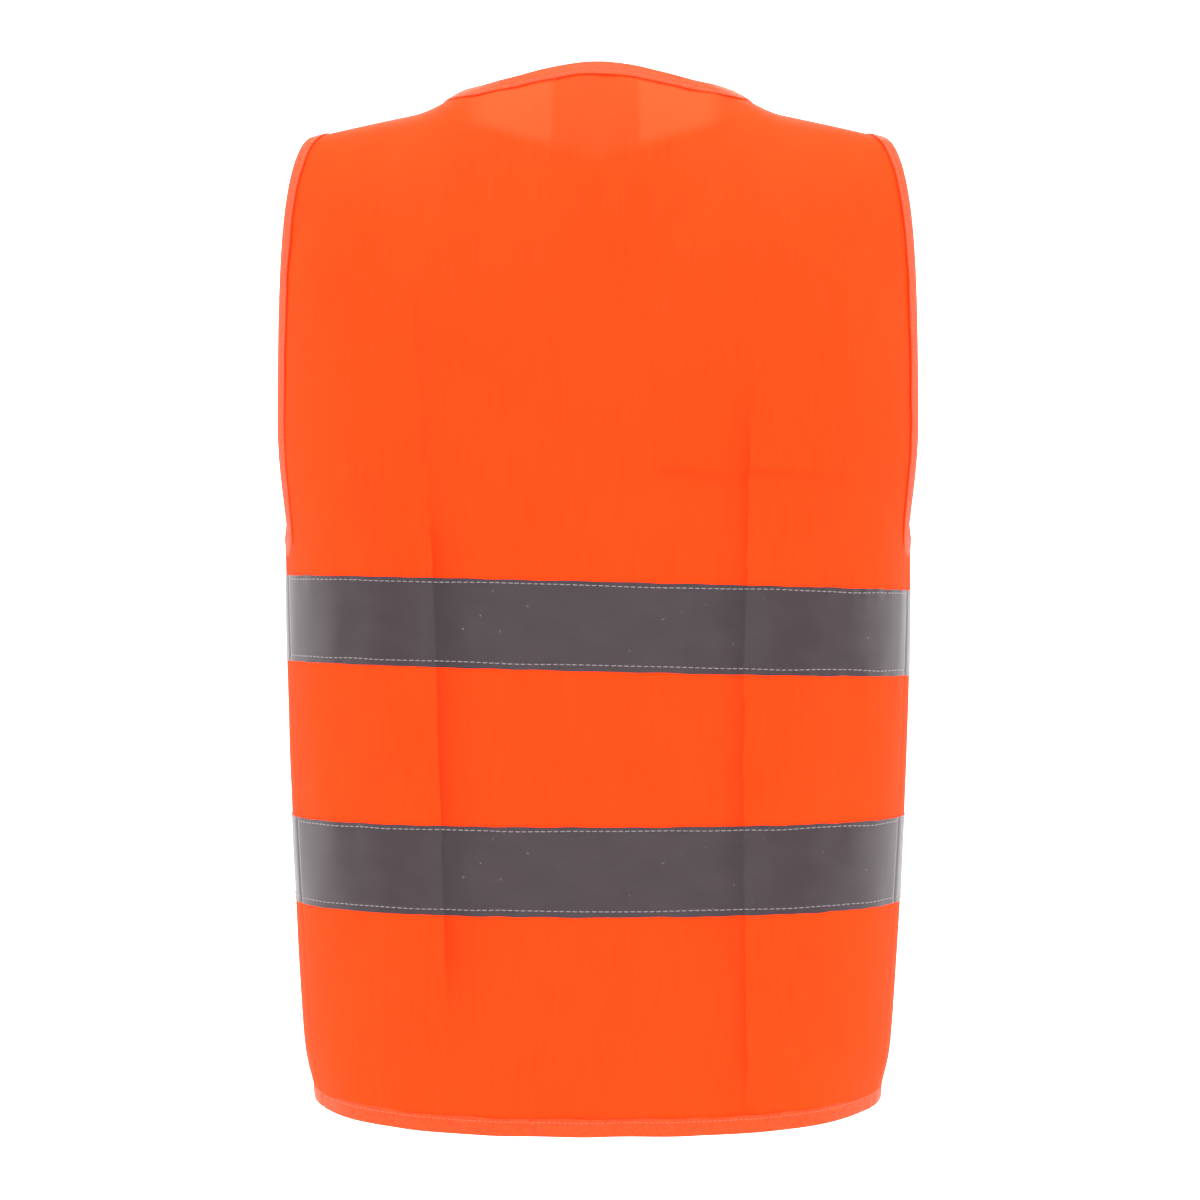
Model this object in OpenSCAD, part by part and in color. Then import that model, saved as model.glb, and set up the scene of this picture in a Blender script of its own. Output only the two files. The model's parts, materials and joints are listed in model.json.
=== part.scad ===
// High visibility vest with two retroreflective tapes, a V neck and a hook-and-loop front.
// Millimetres. The wearer faces -Y, the wearer's left is +X and +Z is up.
// The origin is midway between the neck ends of the two shoulder seams, where the vest hangs.

/* [Overall] */
// Length from the neck end of the shoulder seam down to the hem
body_length = 590; // [560:1:640]
// Width across the chest at the bottom of the armholes
chest_width = 369.4; // [350:0.2:400]
// Depth from front to back when worn
chest_depth = 224; // [200:1:250]
// How much narrower each side is at the hem than at the chest
hem_taper = 13.4; // [5:0.2:20]
// How far the hem binding draws each side in
hem_pinch = 4; // [0:0.5:8]
// How much the hem rises at the side seams
hem_rise = 7; // [0:0.5:12]

/* [Shoulders and armholes] */
// Distance between the two shoulder tips
tip_width = 337; // [325:1:345]
// Height of the shoulder tips, below the origin
tip_drop = 17; // [10:1:25]
// Fall of the shoulder seam for each millimetre outwards
shoulder_slope = 0.2; // [0.15:0.01:0.25]
// Depth of the armholes, from the origin down to the side seam
armhole_depth = 259; // [240:1:275]
// How far each armhole edge is cut in, as a share of the half depth
armhole_cut = 0.42; // [0.3:0.01:0.5]
// Height of the round bottom of the armholes, as a share of their height
armhole_round = 0.3; // [0.2:0.01:0.4]
// How far behind the middle the side seam starts at the armhole, as a share of the half depth
seam_top_back = 0.27; // [0:0.01:0.3]
// How far behind the middle the side seam ends at the hem, as a share of the half depth
seam_hem_back = 0.42; // [0:0.01:0.5]

/* [Neck] */
// Width of the neck opening at the shoulder seams
neck_width = 169; // [150:1:180]
// Distance of the nape from the shoulder seams
neck_back = 66; // [58:1:72]
// How far the shoulder surface rises towards the neck
neck_rise = 36; // [30:1:40]
// Depth of the V neck, from the origin down
v_depth = 238; // [200:1:245]

/* [Front closure] */
// Width of the overlap of the two fronts
lap_width = 40; // [30:1:50]
// How far the left front stands out over the right one in the overlap
lap_lift = 4.4; // [4.3:0.1:6]
// Width of the hook and loop patches
patch_width = 20; // [16:1:20]

/* [Tapes] */
// Width of the retroreflective tape
tape_width = 50; // [50:1:60]
// Top edge of the upper tape, below the origin
upper_tape_drop = 282.5; // [278:0.5:290]
// Top edge of the lower tape, below the origin
lower_tape_drop = 419; // [400:1:440]
// How much higher the upper tape is at the left side seam than at the right one
upper_tape_lean = 9; // [0:1:12]

/* [Material thickness] */
// Thickness of the knitted panels
panel_t = 1.2; // [1:0.1:1.4]
// Thickness of the tape
tape_t = 0.6; // [0.4:0.1:0.8]
// Width of the bindings that shows
binding_w = 9; // [7:0.5:11]
// Thickness of one layer of binding
binding_t = 0.8; // [0.6:0.1:0.9]
// Width of the label at the nape
label_width = 50; // [40:1:60]
// Length of the label at the nape
label_length = 58; // [40:1:70]

/* [Hidden] */

BACK = 1;
FRONT = -1;
LEFT = 1;
RIGHT = -1;

section_n = 2.4;        // exponent of the round-cornered horizontal section
shoulder_n = 2.6;       // exponent of the curve over the shoulders
neck_n = 2.3;           // exponent of the neck curve seen from above
taper_reach = 18;       // height over which the hem pinch fades away
rise_reach = 108;       // distance from the centre at which the neck rise starts
nape_round = 30;        // roundness of the shoulder surface at the nape
tip_stop = 0.995;       // level where the armhole bindings end, just short of the shoulder seam
tip_n = 6;              // how late the armhole edge turns in towards the shoulder tip
v_corner = 0.11;        // softness of the corner at the bottom of the V
seam_half = 0.4;        // half the gap between back and front along the seams
end_turn = 0.4;         // angle by which the fronts' tapes and bindings stop short of the seams
clearance = 0.1;        // gap between stacked layers
thread_w = 0.7;         // width of a row of stitching
thread_t = 0.35;        // how far a row of stitching stands up
thread_from_top = 2;    // upper row of stitching, from the tape's upper edge
thread_from_bottom = 3; // lower row of stitching, from the tape's lower edge
seam_thread_r = 0.5;    // radius of a seam's thread chain
patch_t = 0.9;          // thickness of a hook or loop patch
label_t = 0.4;          // thickness of the label

half_chest = chest_width / 2;
half_depth = chest_depth / 2;
half_tip = tip_width / 2;
half_neck = neck_width / 2;
chest_z = -armhole_depth;
skirt_h = body_length - armhole_depth;
tape_d = panel_t + clearance;
thread_d = tape_d + tape_t + 0.05;

fabric_orange = "orangered";
tape_grey = [0.47, 0.45, 0.46];
thread_grey = "lightgrey";
binding_red = "tomato";

// ---- The surface that the vest hangs on ------------------------------------------------
// Every place on it has a face (BACK or FRONT), an angle phi from that face's centre line (0)
// to the side (90) and past it, and a level v: -1 at the hem, 0 at the armhole bottom and 1 on
// the shoulder seam.

function unit(a) = a / norm(a);
function signed_pow(a, e) = sign(a) * pow(abs(a), e);
function smooth(a) = let (c = min(1, max(0, a))) c * c * (3 - 2 * c);
function mix(a, b, w) = a + (b - a) * w;
function height_share(v) = v > 0 ? pow(sin(90 * v), 2 / shoulder_n) : 0;
function depth_share(v) = v > 0 ? pow(cos(90 * v), 2 / shoulder_n) : 1;

// 0 at the armhole's bottom, 1 where its round bottom ends
function round_share(v) =
    let (q = min(1, height_share(v) / armhole_round))
    sqrt(1 - pow(1 - q, 2));

function armhole_x(v) =
    half_tip + (half_chest - half_tip) * pow(1 - pow(height_share(v), tip_n), 0.55);

function half_width(v) = v > 0
    ? armhole_x(v) / pow(1 - pow(armhole_cut * round_share(v), section_n), 1 / section_n)
    : half_chest - hem_taper * v * v - hem_pinch * exp(-pow((1 + v) * skirt_h / taper_reach, 2));

// Distance from the centre line, rounded off near it so that the nape has no peak
function soft_distance(x) = sqrt(x * x + nape_round * nape_round) - nape_round / 10;

function shoulder_z(x) =
    shoulder_slope * (half_tip - soft_distance(x)) - tip_drop
    + neck_rise * pow(cos(90 * min(1, abs(x) / rise_reach)), 1.6);

function hem_z(x) = hem_rise * pow(abs(x) / half_chest, 4) - body_length;

// A place on the surface, a distance d outside it
function spot(face, phi, v, d) =
    let (
        x = (half_width(v) + d) * signed_pow(sin(phi), 2 / section_n),
        y = (half_depth + d) * depth_share(v) * signed_pow(cos(phi), 2 / section_n),
        z = v > 0
            ? mix(chest_z, shoulder_z(x) + d, height_share(v))
            : mix(chest_z, hem_z(x), -v)
    )
    [x, face * (y + seam_half), z];

function phi_at_x(x, v) = asin(signed_pow(min(1, abs(x) / half_width(v)) * sign(x), section_n / 2));
function phi_at_depth(share) = acos(signed_pow(share, section_n / 2));

// Angles of the back's and the fronts' side edges: the side seam, then the armhole
function seam_back(v) = mix(seam_top_back, seam_hem_back, pow(max(0, -v), 0.6));
function back_side(v) = phi_at_depth(mix(seam_back(v), armhole_cut, round_share(v)));
function front_side(v) = phi_at_depth(mix(-seam_back(v), armhole_cut, round_share(v)));
function v_at_z(z) = (z - chest_z) / skirt_h;

// Height above or below the armhole bottom, as a share of the upper body
function signed_level(v) = v > 0 ? height_share(v) : v * skirt_h / armhole_depth;

// The front edge: straight down the overlap, then out along the V to the shoulder seam
function front_edge_x(v) =
    let (
        start = 1 - v_depth / armhole_depth,
        w = (signed_level(v) - start) / (1 - start),
        soft = (w + sqrt(w * w + v_corner * v_corner)) / (1 + sqrt(1 + v_corner * v_corner))
    )
    mix(-lap_width / 2, half_neck, 0.6 * soft + 0.4 * sin(90 * min(1, soft)));

// The left front lies over the right one, so it stands out by this much near the centre
function lift(x) = lap_lift * (1 - smooth((x - lap_width / 2 - 6) / 50));

// The level at which the column that leads to the back's share f reaches the neck curve
function neck_gap(f, v) =
    let (p = spot(BACK, f * back_side(v), v, 0))
    pow(abs(p.x) / half_neck, neck_n) + pow(abs(p.y) / neck_back, neck_n) - 1;
function neck_level(f, low = 0.5, high = 1, steps = 16) =
    steps == 0
        ? low
        : let (mid = (low + high) / 2)
          neck_gap(f, mid) > 0
              ? neck_level(f, mid, high, steps - 1)
              : neck_level(f, low, mid, steps - 1);

// ---- Where the rows and columns of the panels are ---------------------------------------

leg_v = binding_w / skirt_h;
neck_f = phi_at_x(half_neck, 1) / back_side(1);
lower_levels = [-1, leg_v - 1, -0.85, -0.66, -0.5, -0.36, -0.22, -0.1];
function level_from_share(s) = asin(pow(s, shoulder_n / 2)) / 90;
armhole_levels = [for (a = [0:15:90]) level_from_share(armhole_round * (1 - cos(a)))];
round_top = level_from_share(armhole_round);
upper_shares = [for (i = [1:9]) i / 9];
wing = [for (i = [0:4]) mix(neck_f, 0.95, i / 4)];
back_columns = concat(
    [-1], [for (i = [4:-1:0]) -wing[i]], [for (i = [-5:5]) neck_f * i / 6],
    wing, [1]
);
front_columns = concat([0, 0.05], [for (i = [1:10]) mix(0.05, 0.95, i / 10)], [1]);

// Levels from the hem to the top of one column
function levels_up_to(top) = concat(
    lower_levels, armhole_levels, [for (g = upper_shares) mix(round_top, top, g)]
);
function back_top(f) = abs(f) < neck_f - 0.001 ? neck_level(abs(f)) : 1;

// Angle on a front panel, from the side (c = 0) to the front edge (c = 1)
function front_phi(c, v) = mix(front_side(v), phi_at_x(front_edge_x(v), v), c);

function on_front(side, phi, v, d) =
    let (
        flat = spot(FRONT, phi, v, 0),
        p = spot(FRONT, phi, v, d + (side == LEFT ? lift(flat.x) : 0))
    )
    [side * p.x, p.y, p.z];

// ---- Solids made from rows of points ----------------------------------------------------

// The same triangles, facing the other way
function reversed(faces) = [for (t = faces) [t[0], t[2], t[1]]];

// A closed sheet between two grids of points, each a list of rows
module sheet(inner, outer) {
    rows = len(inner);
    cols = len(inner[0]);
    half = rows * cols;
    mid = floor(rows / 2) - (rows > 2 ? 0 : 1);
    across = inner[mid][1] - inner[mid][0];
    up = inner[mid + 1][0] - inner[mid][0];
    flip = cross(across, up) * (outer[mid][0] - inner[mid][0]) < 0;
    rim = concat(
        [for (j = [0:cols - 2]) j],
        [for (i = [0:rows - 2]) i * cols + cols - 1],
        [for (j = [cols - 1:-1:1]) (rows - 1) * cols + j],
        [for (i = [rows - 1:-1:1]) i * cols]
    );
    near = [for (i = [0:rows - 2], j = [0:cols - 2])
        let (a = i * cols + j, b = a + 1, c = b + cols, e = a + cols)
        each [[a, b, c], [a, c, e]]];
    far = [for (t = reversed(near)) [t[0] + half, t[1] + half, t[2] + half]];
    edge = [for (k = [0:len(rim) - 1])
        let (a = rim[k], b = rim[(k + 1) % len(rim)])
        each [[a, half + b, b], [a, half + a, half + b]]];
    faces = concat(near, far, edge);
    points = concat([for (r = inner) each r], [for (r = outer) each r]);
    polyhedron(points, flip ? reversed(faces) : faces, convexity = 8);
}

// A folded binding, U-shaped in section, along an edge. Each stop is
// [point on the edge's middle, point inwards from it, direction away from the body].
module binding(stops, leg = binding_w) {
    inner_gap = panel_t / 2 + 0.15;
    outer_gap = inner_gap + binding_t;
    section = [
        [-binding_t - 0.15, -outer_gap], [leg, -outer_gap], [leg, -inner_gap], [-0.15, -inner_gap],
        [-0.15, inner_gap], [leg, inner_gap], [leg, outer_gap], [-binding_t - 0.15, outer_gap]
    ];
    n = len(stops);
    m = len(section);
    rings = [for (i = [0:n - 1])
        let (
            ahead = stops[min(n - 1, i + 1)][0] - stops[max(0, i - 1)][0],
            along = unit(ahead),
            away_raw = cross(along, stops[i][1] - stops[i][0]),
            away = unit(away_raw) * (away_raw * stops[i][2] < 0 ? -1 : 1),
            inward_raw = cross(away, along),
            inward = inward_raw * (inward_raw * (stops[i][1] - stops[i][0]) < 0 ? -1 : 1)
        )
        [for (q = section) stops[i][0] + q[0] * inward + q[1] * away]];
    first = rings[0];
    flip = cross(first[1] - first[0], first[7] - first[0]) * (rings[1][0] - first[0]) < 0;
    end_cap = [[0, 1, 2], [0, 2, 3], [0, 3, 4], [0, 4, 7], [4, 5, 6], [4, 6, 7]];
    last = (n - 1) * m;
    faces = concat(
        end_cap,
        [for (t = reversed(end_cap)) [last + t[0], last + t[1], last + t[2]]],
        [for (i = [0:n - 2], k = [0:m - 1])
            let (a = i * m + k, b = i * m + (k + 1) % m, c = b + m, e = a + m)
            each [[a, c, b], [a, e, c]]]
    );
    polyhedron([for (r = rings) each r], flip ? reversed(faces) : faces, convexity = 8);
}

// A square thread through a list of points
module thread_chain(points, r) {
    n = len(points);
    rings = [for (i = [0:n - 1])
        let (
            along = unit(points[min(n - 1, i + 1)] - points[max(0, i - 1)]),
            side = unit(cross(along, [0.31, 0.95, 0.05])),
            top = cross(side, along)
        )
        [for (q = [[-1, -1], [1, -1], [1, 1], [-1, 1]])
            points[i] + r * (q[0] * side + q[1] * top)]];
    last = (n - 1) * 4;
    faces = concat(
        [[0, 1, 2], [0, 2, 3], [last, last + 2, last + 1], [last, last + 3, last + 2]],
        [for (i = [0:n - 2], k = [0:3])
            let (a = i * 4 + k, b = i * 4 + (k + 1) % 4, c = b + 4, e = a + 4)
            each [[a, c, b], [a, e, c]]]
    );
    first = rings[0];
    flip = cross(first[1] - first[0], first[3] - first[0]) * (rings[1][0] - first[0]) < 0;
    polyhedron([for (r = rings) each r], flip ? reversed(faces) : faces, convexity = 4);
}

// ---- Panels -----------------------------------------------------------------------------

function back_grid(d) = [for (i = [0:len(levels_up_to(1)) - 1])
    [for (f = back_columns)
        let (v = levels_up_to(back_top(f))[i])
        spot(BACK, f * back_side(v), v, d)]];

function front_grid(side, d) = [for (v = levels_up_to(1))
    [for (c = front_columns) on_front(side, front_phi(c, v), v, d)]];

module back_panel() {
    color(fabric_orange) sheet(back_grid(0), back_grid(panel_t));
}

module front_panel(side) {
    color(fabric_orange) sheet(front_grid(side, 0), front_grid(side, panel_t));
}

// ---- Tapes and their stitching ----------------------------------------------------------

function lean_at(x, lean) = lean / 2 * x / half_chest;

// A place on a band at a drop below the origin
function on_band(face, side, phi, drop, lean, d) =
    let (
        v = v_at_z(-drop),
        p = face == BACK ? spot(BACK, phi, v, d) : on_front(side, phi, v, d)
    )
    [p.x, p.y, lean_at(p.x, lean) - drop];

// Angles of the columns of a band, from seam to seam or from the seam to the front binding
function band_angles(face, drop) =
    let (
        v = v_at_z(-drop),
        edge_phi = phi_at_x(front_edge_x(v) + binding_w + 1, v)
    )
    face == BACK
        ? [for (f = back_columns) f * back_side(v)]
        : [for (i = [0:11]) mix(front_side(v) - end_turn, edge_phi, i / 11)];

module band(face, side, top, width, lean, d, t) {
    steps = width > 5 ? 2 : 1;
    drops = [for (i = [0:steps]) top + width * i / steps];
    sheet(
        [for (drop = drops)
            [for (phi = band_angles(face, drop)) on_band(face, side, phi, drop, lean, d)]],
        [for (drop = drops)
            [for (phi = band_angles(face, drop)) on_band(face, side, phi, drop, lean, d + t)]]
    );
}

module tape(face, side, drop, lean) {
    color(tape_grey) band(face, side, drop, tape_width, lean, tape_d, tape_t);
}

module tape_thread(face, side, drop, lean) {
    rows = [drop + thread_from_top, drop + tape_width - thread_from_bottom];
    color(thread_grey) for (row = rows) band(face, side, row, thread_w, lean, thread_d, thread_t);
}

// ---- Bindings ---------------------------------------------------------------------------

function back_stop(phi, v, phi_in, v_in) =
    let (p = spot(BACK, phi, v, panel_t / 2))
    [p, spot(BACK, phi_in, v_in, panel_t / 2), spot(BACK, phi, v, 4) - p];

function front_stop(side, phi, v, phi_in, v_in) =
    let (p = on_front(side, phi, v, panel_t / 2))
    [p, on_front(side, phi_in, v_in, panel_t / 2), on_front(side, phi, v, 4) - p];

module back_neck_binding() {
    shares = [for (i = [-12:12]) neck_f * i / 12];
    color(binding_red) binding([for (f = shares)
        let (v = back_top(f), v_in = v - 0.05 * (1 - pow(f / neck_f, 2)))
        back_stop(f * back_side(v), v, 1.06 * f * back_side(v_in), v_in)]);
}

module back_hem_binding() {
    color(binding_red) binding([for (i = [-12:12])
        let (phi = back_side(-1) * i / 12)
        back_stop(phi, -1, phi, leg_v - 1)]);
}

armhole_run = concat(armhole_levels, [for (g = upper_shares) mix(round_top, tip_stop, g)]);

// Inwards is down at the armhole's bottom and across the panel further up
function armhole_in(v) = [0.93, v - 0.06 * (1 - min(1, height_share(v) / armhole_round))];

module armhole_binding_back(side) {
    color(binding_red) binding([for (v = armhole_run)
        let (q = armhole_in(v))
        back_stop(side * back_side(v), v, side * back_side(v) * q[0], q[1])]);
}

module armhole_binding_front(side) {
    color(binding_red) binding([for (v = armhole_run)
        let (q = armhole_in(v), phi = front_side(v) - end_turn * (1 - round_share(v)))
        front_stop(side, phi, v, phi * q[0], q[1])]);
}

module front_edge_binding(side) {
    levels = levels_up_to(1);
    fine = concat(
        [for (i = [0:len(levels) - 2]) each [levels[i], (levels[i] + levels[i + 1]) / 2]], [1]
    );
    color(binding_red) binding([for (v = fine)
        front_stop(side, front_phi(1, v), v, front_phi(0.93, v), v)]);
}

module front_hem_binding(side) {
    edge_phi = phi_at_x(binding_w + 1 - lap_width / 2, -1);
    color(binding_red) binding([for (i = [0:12])
        let (phi = mix(front_side(-1) - end_turn, edge_phi, i / 12))
        front_stop(side, phi, -1, phi, leg_v - 1)]);
}

// ---- Seams ------------------------------------------------------------------------------

module shoulder_seam(side) {
    color(binding_red) thread_chain([for (i = [0:8])
        let (x = mix(half_neck + binding_w + 2, half_tip - binding_w - 2, i / 8))
        [side * x, 2.5, shoulder_z(x) - 1.6]], seam_thread_r);
}

module side_seam(side) {
    color(binding_red) thread_chain([for (i = [0:12])
        let (v = mix(-0.95, -0.04, i / 12), p = spot(BACK, back_side(v), v, -1.6))
        [side * (p.x - 0.5), p.y + 2, p.z]], seam_thread_r);
}

// ---- Closure and label ------------------------------------------------------------------

// Top and bottom of each pair of patches, below the armhole's bottom
patch_drops = [[3, 21], [86, 146], [221, 286]];

// Half the width of a pair of patches, which stays clear of the front edge bindings
function patch_half(v) = min(patch_width / 2, -front_edge_x(v) - binding_w - 1);

function patch_grid(side, span, d) = [for (drop = span)
    let (v = -drop / skirt_h)
    [for (share = [-1:0.5:1])
        on_front(side, phi_at_x(share * patch_half(-span[0] / skirt_h), v), v, d)]];

module patches(side, d) {
    color(side == LEFT ? "dimgray" : "black")
        for (span = patch_drops)
            sheet(patch_grid(side, span, d), patch_grid(side, span, d + patch_t));
}

module neck_label() {
    top = spot(BACK, 0, neck_level(0), 0);
    color("white")
        translate([-label_width / 2, top.y - 0.5, top.z - binding_w - label_length])
            cube([label_width, label_t, label_length]);
}

// ---- The vest ---------------------------------------------------------------------------

back_panel();
tape(BACK, LEFT, upper_tape_drop, upper_tape_lean);  // back_upper_tape
tape(BACK, LEFT, lower_tape_drop, 0);  // back_lower_tape
tape_thread(BACK, LEFT, upper_tape_drop, upper_tape_lean);  // back_upper_tape_thread
tape_thread(BACK, LEFT, lower_tape_drop, 0);  // back_lower_tape_thread
back_neck_binding();
back_hem_binding();
armhole_binding_back(LEFT);  // left_armhole_binding_back
armhole_binding_back(RIGHT);  // right_armhole_binding_back
shoulder_seam(LEFT);  // left_shoulder_seam
shoulder_seam(RIGHT);  // right_shoulder_seam
side_seam(LEFT);  // left_side_seam
side_seam(RIGHT);  // right_side_seam
neck_label();
front_panel(LEFT);  // left_front_panel
tape(FRONT, LEFT, upper_tape_drop, upper_tape_lean);  // left_front_upper_tape
tape(FRONT, LEFT, lower_tape_drop, 0);  // left_front_lower_tape
tape_thread(FRONT, LEFT, upper_tape_drop, upper_tape_lean);  // left_front_upper_tape_thread
tape_thread(FRONT, LEFT, lower_tape_drop, 0);  // left_front_lower_tape_thread
front_edge_binding(LEFT);  // left_front_edge_binding
front_hem_binding(LEFT);  // left_front_hem_binding
armhole_binding_front(LEFT);  // left_armhole_binding_front
patches(LEFT, -patch_t - 0.05);  // hook_patches
front_panel(RIGHT);  // right_front_panel
tape(FRONT, RIGHT, upper_tape_drop, upper_tape_lean);  // right_front_upper_tape
tape(FRONT, RIGHT, lower_tape_drop, 0);  // right_front_lower_tape
tape_thread(FRONT, RIGHT, upper_tape_drop, upper_tape_lean);  // right_front_upper_tape_thread
tape_thread(FRONT, RIGHT, lower_tape_drop, 0);  // right_front_lower_tape_thread
front_edge_binding(RIGHT);  // right_front_edge_binding
front_hem_binding(RIGHT);  // right_front_hem_binding
armhole_binding_front(RIGHT);  // right_armhole_binding_front
patches(RIGHT, panel_t + 0.05);  // loop_patches
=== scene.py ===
"""High visibility vest: knitted panels, retroreflective tapes, bindings and stitching.

Metres, in the frame's own axes: the wearer faces -Y, the wearer's left is +X, +Z is up.
Every piece lies on one draped surface, which the functions below place points on.
"""

import json
from math import pi, radians

import bpy
import numpy as np
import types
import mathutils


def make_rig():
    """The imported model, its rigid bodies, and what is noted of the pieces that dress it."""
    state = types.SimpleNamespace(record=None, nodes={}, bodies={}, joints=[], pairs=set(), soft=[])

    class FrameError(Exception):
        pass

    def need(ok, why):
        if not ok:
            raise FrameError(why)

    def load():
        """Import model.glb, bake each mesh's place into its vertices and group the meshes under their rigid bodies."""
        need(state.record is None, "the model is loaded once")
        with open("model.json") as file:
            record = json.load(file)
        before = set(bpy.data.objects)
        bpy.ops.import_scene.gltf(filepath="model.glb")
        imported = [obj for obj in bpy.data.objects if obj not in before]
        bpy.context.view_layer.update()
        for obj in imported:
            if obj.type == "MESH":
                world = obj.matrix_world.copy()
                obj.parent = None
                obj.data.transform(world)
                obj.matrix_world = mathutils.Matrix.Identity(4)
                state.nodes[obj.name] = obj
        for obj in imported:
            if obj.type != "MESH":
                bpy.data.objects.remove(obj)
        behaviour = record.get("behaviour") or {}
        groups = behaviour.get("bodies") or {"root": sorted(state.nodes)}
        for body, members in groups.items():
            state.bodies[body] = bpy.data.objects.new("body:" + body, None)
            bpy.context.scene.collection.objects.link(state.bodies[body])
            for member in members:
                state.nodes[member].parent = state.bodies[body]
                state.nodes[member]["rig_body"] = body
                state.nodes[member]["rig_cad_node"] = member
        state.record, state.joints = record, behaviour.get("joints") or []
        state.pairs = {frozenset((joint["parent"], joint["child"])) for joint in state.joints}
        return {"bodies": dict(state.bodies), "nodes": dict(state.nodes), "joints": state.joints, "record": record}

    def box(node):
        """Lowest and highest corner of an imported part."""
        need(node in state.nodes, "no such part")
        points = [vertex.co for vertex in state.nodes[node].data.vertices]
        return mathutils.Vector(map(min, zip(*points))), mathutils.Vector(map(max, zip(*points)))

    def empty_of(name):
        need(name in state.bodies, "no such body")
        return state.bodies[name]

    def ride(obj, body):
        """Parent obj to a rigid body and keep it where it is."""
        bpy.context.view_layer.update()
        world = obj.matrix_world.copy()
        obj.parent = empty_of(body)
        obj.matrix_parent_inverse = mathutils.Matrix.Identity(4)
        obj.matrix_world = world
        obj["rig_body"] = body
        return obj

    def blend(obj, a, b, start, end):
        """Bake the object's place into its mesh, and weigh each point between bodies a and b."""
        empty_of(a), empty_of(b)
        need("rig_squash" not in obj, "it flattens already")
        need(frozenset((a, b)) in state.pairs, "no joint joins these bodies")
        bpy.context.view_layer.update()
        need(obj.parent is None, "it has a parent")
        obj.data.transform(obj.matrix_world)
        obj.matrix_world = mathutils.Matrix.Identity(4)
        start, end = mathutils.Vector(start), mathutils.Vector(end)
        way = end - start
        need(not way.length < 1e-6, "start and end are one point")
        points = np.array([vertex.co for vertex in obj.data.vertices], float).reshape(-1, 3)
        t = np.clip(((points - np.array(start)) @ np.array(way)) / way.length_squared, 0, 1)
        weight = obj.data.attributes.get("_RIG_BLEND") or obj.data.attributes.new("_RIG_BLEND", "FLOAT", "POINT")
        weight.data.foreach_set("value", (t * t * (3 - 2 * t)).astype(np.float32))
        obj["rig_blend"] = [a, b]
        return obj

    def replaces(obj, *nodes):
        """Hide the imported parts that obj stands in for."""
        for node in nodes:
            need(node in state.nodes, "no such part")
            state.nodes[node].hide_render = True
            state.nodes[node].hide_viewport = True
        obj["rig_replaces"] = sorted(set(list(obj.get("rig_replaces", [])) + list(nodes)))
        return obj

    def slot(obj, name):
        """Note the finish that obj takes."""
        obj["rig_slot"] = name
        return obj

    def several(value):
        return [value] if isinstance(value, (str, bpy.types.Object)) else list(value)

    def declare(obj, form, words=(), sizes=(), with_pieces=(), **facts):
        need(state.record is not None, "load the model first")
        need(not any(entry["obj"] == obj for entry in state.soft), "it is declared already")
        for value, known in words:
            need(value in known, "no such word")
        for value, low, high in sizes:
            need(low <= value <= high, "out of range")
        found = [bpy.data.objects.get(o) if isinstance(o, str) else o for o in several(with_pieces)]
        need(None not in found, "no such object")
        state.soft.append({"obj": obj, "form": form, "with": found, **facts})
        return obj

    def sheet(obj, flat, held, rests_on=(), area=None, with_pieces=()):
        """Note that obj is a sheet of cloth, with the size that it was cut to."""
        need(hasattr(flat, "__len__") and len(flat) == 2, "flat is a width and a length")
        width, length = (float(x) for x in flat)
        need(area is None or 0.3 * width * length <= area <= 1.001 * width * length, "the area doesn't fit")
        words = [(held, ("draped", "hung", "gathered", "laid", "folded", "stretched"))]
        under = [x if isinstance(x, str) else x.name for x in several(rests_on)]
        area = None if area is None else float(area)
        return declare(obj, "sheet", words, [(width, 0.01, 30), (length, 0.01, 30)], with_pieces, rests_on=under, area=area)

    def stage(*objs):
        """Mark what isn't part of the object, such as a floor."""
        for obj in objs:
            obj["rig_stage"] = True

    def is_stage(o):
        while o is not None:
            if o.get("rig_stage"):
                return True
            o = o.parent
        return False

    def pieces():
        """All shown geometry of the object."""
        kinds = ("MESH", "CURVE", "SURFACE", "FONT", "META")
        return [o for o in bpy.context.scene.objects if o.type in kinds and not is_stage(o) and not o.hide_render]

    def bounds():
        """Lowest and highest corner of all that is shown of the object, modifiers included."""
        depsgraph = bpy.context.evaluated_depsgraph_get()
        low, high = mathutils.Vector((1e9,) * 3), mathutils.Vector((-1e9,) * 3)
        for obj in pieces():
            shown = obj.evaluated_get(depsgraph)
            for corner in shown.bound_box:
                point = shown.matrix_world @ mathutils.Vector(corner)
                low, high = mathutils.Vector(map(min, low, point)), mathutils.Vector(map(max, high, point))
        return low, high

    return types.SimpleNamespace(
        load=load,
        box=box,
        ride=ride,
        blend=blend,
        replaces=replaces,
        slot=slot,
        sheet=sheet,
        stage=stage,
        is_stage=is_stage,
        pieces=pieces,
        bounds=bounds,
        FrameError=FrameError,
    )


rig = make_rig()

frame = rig.load()
CAD_BOX = [list(corner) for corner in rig.bounds()]

# ---- Driving dimensions ----------------------------------------------------------------------

BACK, FRONT = 1, -1
SIDES = {"left": 1, "right": -1}

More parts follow.
